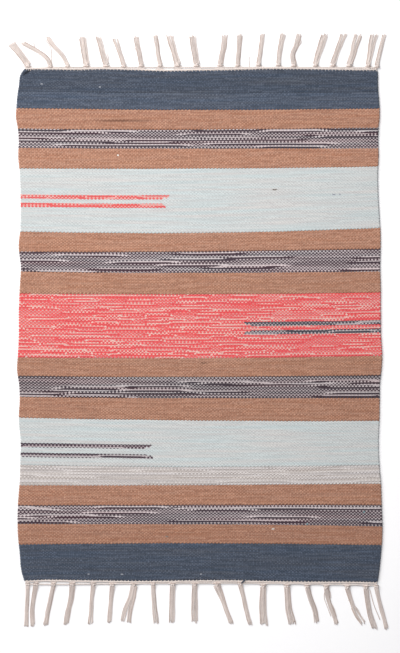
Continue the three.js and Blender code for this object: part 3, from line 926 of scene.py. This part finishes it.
# %% The locks
UPPER_LOCKS = [
    (-288.5, 6, -8.5, -18, -28, 44, 12, 11, 1.5), (-251, 4, -6.2, -23, -46, 43, 6.5, 8, 0),
    (-222, 4, -8, -22, -33.5, 52, 7, 6.5, 0), (-190, 5, -2.4, -4.8, -7, 52, 11, 10.5, 0),
    (-156.8, 5, -5.2, -8.8, -13.3, 52, 8.5, 10.5, 0),
    (-127.5, 4, -4.4, -9.2, -14, 48.5, 8.5, 8, 2),
    (-98, 5, -2.8, -6.2, -8.7, 53.5, 8, 8, 0), (-66.5, 5, -3.2, -5.2, -8.2, 55, 7, 7.5, 0),
    (-37, 5.5, -4.4, -9, -13.5, 55, 11, 11, 2), (-5, 5.5, -2.3, -5, -7.3, 55, 10.5, 10.5, 0),
    (34.7, 6, 2.9, 6.3, 7, 55, 9, 9.5, 0), (63.7, 5.5, 1.8, 2.8, 4, 57, 8, 7.5, 0),
    (99, 6.5, 2.8, 4.8, 7, 57, 7, 7.5, 0), (132.5, 6.5, 1.8, 4.3, 7.9, 57, 8.2, 7.5, 0),
    (158.5, 5, -2, 4.5, 8.5, 57, 8.5, 9, 0), (194.7, 5.5, 4.8, 10.2, 16, 57, 11, 8.5, 0),
    (224, 6, 5.6, 11.8, 18.3, 57, 10, 9.5, 1.8), (251.5, 5.5, 5.8, 10, 15, 57, 13, 10, 3),
    (283, 5.5, 3.6, 6.4, 10.4, 57, 12, 7.5, 2), (297.8, 4, 3.9, 8, 12.6, 57, 6.5, 7.5, 0),
]
LOWER_LOCKS = [
    (-289, 4, -0.8, -1.8, -2.7, 73, 6.7, 6.8, 0), (-275, 4, -4, -6.2, -5.5, 73, 7, 8.5, 0),
    (-245.7, 4.5, -4.8, -9.3, -13.2, 71.5, 7.5, 7.5, 0),
    (-214, 4.5, -1.9, -7, -10.5, 70, 8.4, 10, 0),
    (-178.5, 4, -2.4, -3.7, -4.9, 70, 7.5, 8, 2), (-146.5, 6, -2, -3.7, -5.4, 68.5, 6.5, 8.5, 0),
    (-110.5, 6, -3.7, -10.4, -14, 68.5, 17, 11, 4), (-78, 4.5, 0.8, 2.5, 5, 70, 8.5, 7.2, 1),
    (-45, 6, -1, -1.2, -1.8, 69.5, 9.2, 9.5, 0), (-8, 6, -0.6, -0.4, -0.2, 69.5, 10.5, 9.2, 0),
    (29, 6, 8.6, 16, 23.5, 70.5, 6.5, 12, 0), (68.3, 4.5, 5.8, 10.2, 16.8, 72, 6.5, 7.8, 0),
    (107, 8.5, -0.6, -0.4, 1, 73, 12, 9.8, 0), (146.9, 8, 1.5, 3.5, 9, 71.5, 12, 10, 1.5),
    (180.8, 8, 5.8, 12.6, 16.2, 68.5, 8.4, 9, 0), (213, 8.5, 3.4, 10.3, 17.3, 70, 6.5, 9, 0),
    (248, 8, 6.2, 13.8, 26.5, 68.5, 9, 8, 3), (279.5, 8, 3, 7.4, 14.5, 76.5, 8.5, 8.5, 0),
    (296.8, 6, 5.2, 11.5, 18, 77.5, 6.5, 7.3, 0),
]
UPPER_STRAYS = [
    (-287, 4, -8.5, -16.5, -29, 35), (-248.4, 4, -0.8, -2, -12, 50), (83, 0, 0.4, -0.4, 0.4, 20),
]
LOWER_STRAYS = [(211.5, 8, -2.4, 3, 9, 58)]
UPPER_LOOSE = [
    [(-275, 34), (-278, 39), (-279, 44)],
    [(-248, 44), (-251, 48), (-254.5, 52.5)],
    [(165, 36), (170.5, 44), (169, 50), (165, 56)],
    [(-156, 8), (-153.5, 15), (-155, 24)],
    [(-108, 32), (-105.5, 42), (-106, 53)],
]
LOWER_LOOSE = [
    [(214, 9), (219.5, 18), (220.5, 27)],
    [(217, 29), (226, 45), (230, 58)],
    [(250, 30), (266, 46), (270, 54)],
    [(255, 44), (263, 60), (273, 72)],
    [(286, 12), (293, 38), (303, 62)],
]
# A twined cord follows the last weft or the knots' swags: how far out, how thick, how wide a swing
UPPER_TWINES = [(True, 1.9, 0.9, 0.7), (False, 2.0, 0.75, 0.5)]
LOWER_TWINES = [(True, 2.0, 0.9, 0.75), (False, 4.0, 0.75, 0.5)]


def upper_line(x):
    return CLOTH_LENGTH / 2 + upper_out(x)


def lower_line(x):
    return -CLOTH_LENGTH / 2 - lower_out(x)


# The last column shifts the threads' tone: painted light makes the upper fringe lighter and painted
# shade makes the lower one darker, where the light falls off
ENDS = named_rows(
    "name way line bare pick locks strays loose twines tone",
    [
        ("upper", 1, upper_line, upper_bare, -0.5,
         UPPER_LOCKS, UPPER_STRAYS, UPPER_LOOSE, UPPER_TWINES, 0.1),
        ("lower", -1, lower_line, lower_bare, PICKS - 0.5,
         LOWER_LOCKS, LOWER_STRAYS, LOWER_LOOSE, LOWER_TWINES, -0.1),
    ],
)
LINE_COLUMNS = "root knot third two_thirds tip reach"
for end in ENDS:
    end["locks"] = named_rows(LINE_COLUMNS + " width at_root parted", end["locks"])
    end["strays"] = named_rows(LINE_COLUMNS, end["strays"])
    end["twines"] = named_rows("at_weft out radius swing", end["twines"])
print("locks:", [len(end["locks"]) for end in ENDS])

# %% [markdown]
# ## Bare cotton
#
# The warp is undyed cotton, two plies twisted together, about 1.5 mm thick. The eye gets soft
# slanted furrows, an uneven beige and a matt surface. Each tube stores where its surface lies
# around and along the thread, and the material turns that into the furrows of two plies, one turn
# to 4 mm. Each thread has its own tone, and a soft mottle of 6 mm grain runs over them all. High
# tones are pale and low ones brown; the lowest tone marks the threads drawn as painted shadow
# lines. The furrows get a painted shade, a little brown.

# %% The material of bare warp
WARP_SHEEN = 0.1
PLY_TURN = 4.0
PLY_RELIEF_MM = 0.4
MOTTLE_MM = 6
MOTTLE_SHARE = 0.6
PALE_TONES = (0.2, 1.1)
BROWN_TONES = (-0.6, 0.1)
BROWNEST = 0.75
FURROW_ENDS = 0.6  # where on the ply's height the furrow's shade ends
FURROW_PAINTED_SHADE = 0.4


def twisted_cotton(name, deep, mid, pale):
    material, tree, shader = cotton_material(name, WARP_SHEEN)
    add = partial(add_node, tree)
    place = add("Attribute", attribute_name="thread_place")
    parts = add("SeparateXYZ", (place.outputs["Vector"],))
    round_angle = add("Math", (parts.outputs[1], parts.outputs[0]), operation="ARCTAN2")
    run_angle = add("Math", (parts.outputs[2], 2 * np.pi / PLY_TURN), operation="MULTIPLY")
    ply_angle = add("Math", (round_angle, run_angle), operation="ADD")
    two_plies = add("Math", (ply_angle, 2.0), operation="MULTIPLY")
    ply_wave = add("Math", (two_plies,), operation="SINE")
    ply_rise = add("Math", (ply_wave, 0.5, 0.5), operation="MULTIPLY_ADD")

    where = add("TexCoord").outputs["Object"]
    grain = {"Vector": where, "Scale": 1 / (MOTTLE_MM * MM), "Detail": 3.0}
    mottle = add("TexNoise", grain)
    thread_tone = add("Attribute", attribute_name="thread_tone").outputs["Fac"]
    tone = add("Math", (mottle, MOTTLE_SHARE, thread_tone), operation="MULTIPLY_ADD")
    paler = add("MapRange", (tone, *PALE_TONES))
    cotton = add("Mix", {0: paler, 6: linear(mid), 7: linear(pale)}, data_type="RGBA")
    browner = add("MapRange", (tone, *BROWN_TONES, BROWNEST, 0.0))
    # Painted shade: the furrows between the plies are drawn browner
    painted_furrow_shade = add("MapRange", (ply_rise, 0.0, FURROW_ENDS, FURROW_PAINTED_SHADE, 0.0))
    brown_and_painted_shade = add("Math", (browner, painted_furrow_shade), operation="MAXIMUM")
    shades = {0: brown_and_painted_shade, 6: cotton.outputs[2], 7: linear(deep)}
    shaded = add("Mix", shades, data_type="RGBA")
    shape = {"Strength": 0.5, "Distance": PLY_RELIEF_MM * MM, "Height": ply_rise}
    tree.links.new(shaded.outputs[2], shader.inputs["Base Color"])
    tree.links.new(add("Bump", shape).outputs[0], shader.inputs["Normal"])
    return material


bare_warp = twisted_cotton("bare_warp_cotton", deep="#ae988c", mid="#d7cbc5", pale="#e9e0db")
navy_end = twisted_cotton("navy_end_cotton", deep="#262c38", mid="#3c4552", pale="#4e5866")
print("bare warp:", len(bare_warp.node_tree.nodes), "nodes")

# %% [markdown]
# ## Tubes for threads
#
# Every thread of the fringe is a closed tube swept along a path. One class gathers them into a
# single mesh, and keeps the marks that the material reads. Side and lift stay level with the
# floor, so the tubes don't spin.

# %% A bundle of tubes
ROUNDED_END = 0.5


def lengths_along(path):
    return np.append(0, np.cumsum(np.linalg.norm(np.diff(path, axis=0), axis=1)))


class Bundle:
    def __init__(self):
        self.points, self.faces, self.places, self.tones, self.count = [], [], [], [], 0

    def add_tube(self, path, radii, sides, tone):
        path = np.asarray(path, float)
        radii = np.broadcast_to(radii, len(path))
        ahead = (path[-1] - path[-2]) / np.linalg.norm(path[-1] - path[-2])
        path = np.vstack([path, path[-1] + ROUNDED_END * radii[-1] * ahead])
        radii = np.append(radii, ROUNDED_END * radii[-1])
        forward = np.gradient(path, axis=0)
        forward /= np.linalg.norm(forward, axis=1)[:, None]
        side = np.cross(forward, (0.0, 0.0, 1.0))
        side /= np.maximum(np.linalg.norm(side, axis=1), 1e-9)[:, None]
        lift = np.cross(side, forward)
        angles = 2 * np.pi * np.arange(sides) / sides
        round_side = np.cos(angles)[None, :, None] * side[:, None, :]
        round_lift = np.sin(angles)[None, :, None] * lift[:, None, :]
        rings = path[:, None, :] + radii[:, None, None] * (round_side + round_lift)
        along = lengths_along(path)[:, None]
        marks = np.broadcast_arrays(np.cos(angles), np.sin(angles), along)
        first = self.count
        self.count += len(path) * sides
        for ring in range(first, self.count - sides, sides):
            for corner in range(sides):
                here, beside = ring + corner, ring + (corner + 1) % sides
                self.faces.append((here, beside, beside + sides, here + sides))
        self.faces.append(tuple(reversed(range(first, first + sides))))
        self.faces.append(tuple(range(self.count - sides, self.count)))
        self.points.append(rings.reshape(-1, 3))
        self.places.append(np.stack(marks, axis=-1).reshape(-1, 3))
        self.tones.append(np.full(len(path) * sides, tone))

    def mesh(self, name, material):
        points = (np.concatenate(self.points) + (SHIFT_X, SHIFT_Y, 0)) * MM
        points[:, 2] = np.maximum(points[:, 2], 0)
        mesh = bpy.data.meshes.new(name)
        mesh.from_pydata(points.tolist(), [], self.faces)
        mesh.polygons.foreach_set("use_smooth", np.ones(len(self.faces), bool))
        mesh.materials.append(material)
        add_mark(mesh, "thread_place", np.concatenate(self.places))
        add_mark(mesh, "thread_tone", np.concatenate(self.tones))
        return mesh


def smooth_path(points, steps):
    points = np.asarray(points, float)
    places = lengths_along(points)
    at = np.linspace(0, places[-1], steps)
    return np.stack([smooth_line(places, points[:, axis])(at) for axis in range(3)], axis=1)


def upright(x, y, z):
    return np.stack([x, y, np.broadcast_to(z, x.shape)], axis=1)


print("three points in five steps:", smooth_path([(0, 0, 0), (1, 0, 0), (1, 1, 0)], 5).shape)

# %% [markdown]
# ## Locks
#
# Past the knot the threads spread to the width of the tip in the first half of their way, and come
# down from the height of the knot to the floor. They lie side by side in a lower layer, with a few
# more on top of it that sink in between towards the tip. Each is a little longer or shorter than
# the next and wobbles in its own way. One outer thread in each lock is drawn brown, as a painted
# shadow line along that side of the lock.

# %% A lock of threads
THREAD_RADIUS = 0.72
THREAD_SIDES = 6
THREAD_STEPS = 22
THREAD_UNEVEN = (0.06, 9)  # how much thicker and thinner, and how fast it changes along the lock
THREAD_PITCH = 1.65
THREADS_IN_LOCK = 8
LAYER_RISE = 1.1
LAYER_SINK = 0.8
SINK_RATE, SINK_DELAY = 1.6, 0.6
STRAND_START = 2  # mm past the middle of the knot
START_HEIGHT = 2.4
SETTLED_BY = 0.16
SPREAD_BY = 0.55
PART_FROM = 0.35
FLARE = 0.12
WOBBLE = 0.35
WOBBLE_TURNS = (1.2, 2.6)
PHASES = (0, 6.28)
TRIM = 0.04
# Painted shadow: the tone of the brown tubes along each lock's side and across each knot
PAINTED_SHADOW_TONE = -0.75
LOCK_TONES = (0, 0.6)
NEARBY = 0.01  # the share of a lock over which its slope is measured


def eased(t):
    t = np.clip(t, 0, 1)
    return t * t * (3 - 2 * t)


def lock_line(end, lock, out, place, pitch_root, pitch_tip):
    swing = smooth_line([0, 1 / 3, 2 / 3, 1], [0, lock["third"], lock["two_thirds"], lock["tip"]])
    length = lock["reach"] - lock["knot"] - STRAND_START
    ahead, behind = swing(np.clip(out + NEARBY, 0, 1)), swing(np.clip(out - NEARBY, 0, 1))
    slope = (ahead - behind) / (2 * NEARBY * length)
    lean = np.hypot(1, slope)
    pitch = pitch_root + (pitch_tip - pitch_root) * eased(out / SPREAD_BY)
    root_y = end["line"](lock["root"]) + end["way"] * (lock["knot"] + STRAND_START)
    x = lock["root"] + swing(out) + place * pitch / lean
    y = root_y + end["way"] * (out * length - place * pitch * slope / lean)
    return x, y


def add_lock(bundle, end, lock, luck):
    lower = max(3, round(max(lock["width"], lock["at_root"]) / THREAD_PITCH))
    upper = min(max(2, THREADS_IN_LOCK - lower), lower - 1)
    parted = lock["parted"]
    pitch = (lock["width"] - parted) / lower
    # Painted shadow line: one outer thread of the lower layer is drawn brown
    shadow_line_thread = luck.choice([0, lower - 1])
    for layer, count in ((0, lower), (1, upper)):
        for thread in range(count):
            place = thread - (count - 1) / 2
            out = np.linspace(0, 1 + luck.uniform(-TRIM, TRIM), THREAD_STEPS)
            fanned = place * (1 + FLARE * out**2)
            x, y = lock_line(end, lock, out, fanned, lock["at_root"] / lower, pitch)
            half = 0.5 if place > 0 else -0.5
            x = x + half * parted * np.clip((out - PART_FROM) / (1 - PART_FROM), 0, 1)
            phase, turns = luck.uniform(*PHASES), luck.uniform(*WOBBLE_TURNS)
            x = x + WOBBLE * out * np.sin(turns * 2 * np.pi * out + phase)
            sunk = LAYER_SINK * np.clip(out * SINK_RATE - SINK_DELAY, 0, 1)
            rest = THREAD_RADIUS + layer * LAYER_RISE * (1 - sunk)
            z = START_HEIGHT + (rest - START_HEIGHT) * eased(out / SETTLED_BY)
            uneven, rate = THREAD_UNEVEN
            radii = THREAD_RADIUS * (1 + uneven * np.sin(rate * out + phase))
            is_shadow_line = layer == 0 and thread == shadow_line_thread
            tone = PAINTED_SHADOW_TONE if is_shadow_line else end["tone"] + luck.uniform(*LOCK_TONES)
            bundle.add_tube(upright(x, y, z), radii, THREAD_SIDES, tone)


print("a lock has", THREADS_IN_LOCK, "threads or more,", 2 * THREAD_RADIUS, "mm thick")

# %% [markdown]
# ## Knots, roots and twined cords
#
# An overhand knot is close to a trefoil: a curve that winds twice round while it dips over and
# under itself three times. Squashed flat and swept with a thick tube, it reads as a knot of yarn
# from any side. The lock's threads start inside it, and a brown tube laid across its back is a
# painted shadow of the knot. The roots run from each warp's place in the cloth to the nearest knot,
# so those from far away lie along the cloth and draw the shallow swags, and two twined cords lock
# them.

# %% Knots
KNOT_HALF_WIDE = 2.6
KNOT_HALF_LONG = 2.3
KNOT_HALF_HIGH = 1.25
KNOT_TUBE = 1.3
KNOT_SIDES = 8
KNOT_STEPS = 44
KNOT_TILT = 0.5
KNOT_TONES = (0.2, 0.6)
KNOT_SHADOW_OVERHANG = 1
KNOT_SHADOW_BACK = 1.7
KNOT_SHADOW_BOW = 0.9
KNOT_SHADOW_TOP = 4.9
KNOT_SHADOW_DROP = 2.6
KNOT_SHADOW_TUBE = 0.65
KNOT_SHADOW_STEPS = 12


def add_knot(bundle, end, lock, luck):
    turn = np.linspace(0, 2 * np.pi, KNOT_STEPS)
    tilt = luck.uniform(-KNOT_TILT, KNOT_TILT)
    a = (np.sin(turn) + 2 * np.sin(2 * turn)) / 3 * KNOT_HALF_WIDE
    b = (np.cos(turn) - 2 * np.cos(2 * turn)) / 3 * KNOT_HALF_LONG
    root_y = end["line"](lock["root"])
    x = lock["root"] + a * np.cos(tilt) - b * np.sin(tilt)
    y = root_y + end["way"] * lock["knot"] + a * np.sin(tilt) + b * np.cos(tilt)
    z = KNOT_TUBE + KNOT_HALF_HIGH - KNOT_HALF_HIGH * np.sin(3 * turn)
    bundle.add_tube(upright(x, y, z), KNOT_TUBE, KNOT_SIDES, luck.uniform(*KNOT_TONES))
    # A painted shadow of the knot: a brown tube bowed across its back
    across = np.linspace(-0.5, 0.5, KNOT_SHADOW_STEPS)
    x = lock["root"] + across * (lock["at_root"] + KNOT_SHADOW_OVERHANG)
    # A parabola of 4 t squared rises by 1 from the middle to either end
    y = root_y + end["way"] * (lock["knot"] - KNOT_SHADOW_BACK + 4 * KNOT_SHADOW_BOW * across**2)
    z = KNOT_SHADOW_TOP - 4 * KNOT_SHADOW_DROP * across**2
    bundle.add_tube(upright(x, y, z), KNOT_SHADOW_TUBE, THREAD_SIDES, PAINTED_SHADOW_TONE)


print("a knot stands", 2 * (KNOT_TUBE + KNOT_HALF_HIGH), "mm high")

# %% Roots and twined cords
THIN_SIDES = 5
ROOT_RADIUS = 0.62
ROOT_STEPS = 8
ROOT_TONES = (0.2, 0.7)
ROOT_BURIED = 1.8
ROOT_STRAIGHT = 0.3
ROOT_HEIGHTS = (2.5, 2.5, 2.2, 1.9, 2.2)
ROOT_LAG, NEAR_LAG, NEAR = 0.9, 0.5, 6  # how far out a root turns aside, and how much later if near
TURN_IN = 0.1  # the share of its way aside that it has gone where it turns
LEFT_AT_CURVE, LEFT_IN_KNOT = 0.55, 0.15  # the shares left of it further on
CURVE_OUT = 0.25
KNOT_CROWD = 1.8
KNOT_SHORT = 1.2
SWAG_REACH = 13
SWAG_SHARE = 0.35
SWAG_FREE = 3  # knots closer than this pull no swag
TWINE_TURN = 6.0
TWINE_STEPS = 8
TWINE_LIFT = 2.2
TWINE_TONE = 0.8
TWINE_INSET = 0.6  # warps from the selvedge


def swag(end, x):
    depth = np.zeros_like(x)
    for lock in end["locks"]:
        near = np.clip(1 - np.abs(x - lock["root"]) / SWAG_REACH, 0, 1)
        depth = np.maximum(depth, SWAG_SHARE * (lock["knot"] - SWAG_FREE) * near**2)
    return depth


def add_roots(bundle, end, luck):
    xs, ys = cloth_plan(np.arange(WARPS) + 0.5, np.array([end["pick"]]))
    roots = np.array([lock["root"] for lock in end["locks"]])
    way = end["way"]
    for x, y in zip(xs[0], ys[0]):
        lock = end["locks"][int(np.argmin(np.abs(roots - x)))]
        away = x - lock["root"]
        lag = ROOT_LAG + NEAR_LAG * np.exp(-abs(away) / NEAR)
        curve = lag + CURVE_OUT * (lock["knot"] - lag)
        knot_y = end["line"](lock["root"]) + way * lock["knot"]
        in_knot = np.clip(LEFT_IN_KNOT * away, -KNOT_CROWD, KNOT_CROWD)
        plan = [
            (x, y - way * ROOT_BURIED),
            (x, y + way * ROOT_STRAIGHT),
            (x - TURN_IN * away, y + way * lag),
            (lock["root"] + LEFT_AT_CURVE * away, y + way * curve),
            (lock["root"] + in_knot, knot_y - way * KNOT_SHORT),
        ]
        points = [(*place, height) for place, height in zip(plan, ROOT_HEIGHTS)]
        path = smooth_path(points, ROOT_STEPS)
        bundle.add_tube(path, ROOT_RADIUS, THIN_SIDES, luck.uniform(*ROOT_TONES))


def add_twines(bundle, end):
    outermost = np.array([TWINE_INSET, WARPS - TWINE_INSET])
    first, last = cloth_plan(outermost, np.array([end["pick"]]))[0][0]
    x = np.arange(first, last, TWINE_TURN / TWINE_STEPS)
    for twine in end["twines"]:
        out = twine["out"] - end["bare"](x) if twine["at_weft"] else twine["out"] + swag(end, x)
        middle = end["line"](x) + end["way"] * out
        for ply in (0, np.pi):
            angle = 2 * np.pi * (x - first) / TWINE_TURN + ply
            y = middle + twine["swing"] * np.cos(angle)
            z = TWINE_LIFT + twine["swing"] * np.sin(angle)
            bundle.add_tube(upright(x, y, z), twine["radius"], THIN_SIDES, TWINE_TONE)


print("a root ends", KNOT_SHORT, "mm short of the middle of its knot")

# %% [markdown]
# ## Both fringes
#
# Each fringe is one piece: knots and locks first, then single threads, the roots and the cords.
# The last weft yarn has one end that was never tucked in, and lies across the lower heading.

# %% Tie the fringes
FRINGE_SEED = 40
STRAY_RADIUS = 0.6
STRAY_TONE = 0.3
LOOSE_TONES = (-0.5, 0.3)

for seed, end in enumerate(ENDS):
    luck = np.random.default_rng(FRINGE_SEED + seed)
    bundle = Bundle()
    for lock in end["locks"]:
        add_knot(bundle, end, lock, luck)
        add_lock(bundle, end, lock, luck)
    for stray in end["strays"]:
        x, y = lock_line(end, stray, np.linspace(0, 1, THREAD_STEPS), 0, 1, 1)
        bundle.add_tube(upright(x, y, STRAY_RADIUS), STRAY_RADIUS, THREAD_SIDES, STRAY_TONE)
    add_roots(bundle, end, luck)
    for points in end["loose"]:
        line = [(x, end["line"](x) + end["way"] * out, STRAY_RADIUS) for x, out in points]
        path = smooth_path(line, THREAD_STEPS // 2)
        bundle.add_tube(path, STRAY_RADIUS, THREAD_SIDES, luck.uniform(*LOOSE_TONES))
    add_twines(bundle, end)
    node = f"fringe_{end['name']}"
    mesh = bundle.mesh(node + "_threads", bare_warp)
    add_piece(mesh.name, mesh, node)
    print(node, "has", sum(len(face) - 2 for face in bundle.faces), "triangles")

# %% The loose end of weft
WEFT_RADIUS = 1.15
WEFT_TONE = 0.3
WEFT_PATH = [(76.5, -427.8, 4.3), (74.3, -429.8, 4.7), (71.7, -432, 4.6), (69.6, -433.8, 3.6)]
loose_weft = Bundle()
loose_weft.add_tube(smooth_path(WEFT_PATH, 10), WEFT_RADIUS, KNOT_SIDES, WEFT_TONE)
mesh = loose_weft.mesh("loose_weft_end", navy_end)
add_piece("loose_weft_end", mesh, "woven_cloth")
print("loose weft end:", len(loose_weft.faces), "faces")

# %% [markdown]

# %% [markdown]
# ## Floor, light and camera
#
# The rug is seen from straight above on plain white. A pale floor, a wide soft light from the
# upper left and an even pale sky give the same: hardly any cast shadow, and enough slant to raise
# the weave. In the photograph the light holds over the left half and falls off to the right, so a
# weak long lamp hangs a little left of the middle. The long lens high above keeps the lines
# parallel.

# %% Stage
FLOOR_SIZE = 60
FLOOR_DROP = 0.0001  # just under the rug, so that the two don't share a plane
FLOOR_PAINT = {"Base Color": linear("#fbfbfc"), "Roughness": 0.95, "Specular IOR Level": 0.0}
half = FLOOR_SIZE / 2
corners = ((-half, -half), (half, -half), (half, half), (-half, half))
floor_mesh = bpy.data.meshes.new("floor")
floor_mesh.from_pydata([(x, y, -FLOOR_DROP) for x, y in corners], [], [(0, 1, 2, 3)])
floor_paint = bpy.data.materials.new("floor_paint")
floor_paint.use_nodes = True
for socket, value in FLOOR_PAINT.items():
    floor_paint.node_tree.nodes["Principled BSDF"].inputs[socket].default_value = value
floor_mesh.materials.append(floor_paint)
add_object("floor", floor_mesh)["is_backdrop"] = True
print("floor", FLOOR_SIZE, "m wide")

# %% Light
SKY_COLOUR = "#fbfbff"
SKY_STRENGTH = 0.38
DAYLIGHT = (1.0, 0.985, 0.97)

scene = bpy.context.scene
scene.world = scene.world or bpy.data.worlds.new("sky")
scene.world.use_nodes = True
sky = scene.world.node_tree.nodes["Background"]
sky.inputs["Color"].default_value = linear(SKY_COLOUR)
sky.inputs["Strength"].default_value = SKY_STRENGTH


def soft_light(name, width, length, watts, location):
    light = bpy.data.lights.new(name, "AREA")
    light.shape, light.size, light.size_y = "RECTANGLE", width, length
    light.energy, light.color = watts, DAYLIGHT
    made = add_object(name, light)
    made.location = location
    return made


window = soft_light("window", width=2.8, length=2.8, watts=150, location=(-2.3, 1.9, 2.5))
window.rotation_euler = (-Vector(window.location)).to_track_quat("-Z", "Y").to_euler()
lamp = soft_light("lamp", width=0.5, length=1.8, watts=5.1, location=(-0.1, 0.25, 0.95))
lamp.visible_camera = False
scene.view_settings.view_transform = "Standard"
print("a window of", window.data.energy, "W, a lamp of", round(lamp.data.energy, 1), "W")

# %% Camera
CAMERA_HEIGHT = 6.0
CAMERA_ASIDE, CAMERA_ALONG = 0.7, -2.3  # mm from the middle of the cloth
PHOTO_TALL = 653
MM_PER_PIXEL = 1.681
SENSOR = 36.0
camera = bpy.data.cameras.new("camera")
camera.sensor_width = SENSOR
camera.lens = SENSOR * CAMERA_HEIGHT / (PHOTO_TALL * MM_PER_PIXEL * MM)
camera.clip_end = 100
scene.camera = add_object("camera", camera)
middle = ((SHIFT_X + CAMERA_ASIDE) * MM, (SHIFT_Y + CAMERA_ALONG) * MM)
scene.camera.location = (*middle, CAMERA_HEIGHT)
print("lens", round(camera.lens, 1), "mm at", CAMERA_HEIGHT, "m")

# %% The size of it all, and the last line
low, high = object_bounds()
solid, dressed = [round(v, 4) for v in cad_high - cad_low], [round(v, 4) for v in high - low]
print("solid box", solid, "dressed box", dressed)
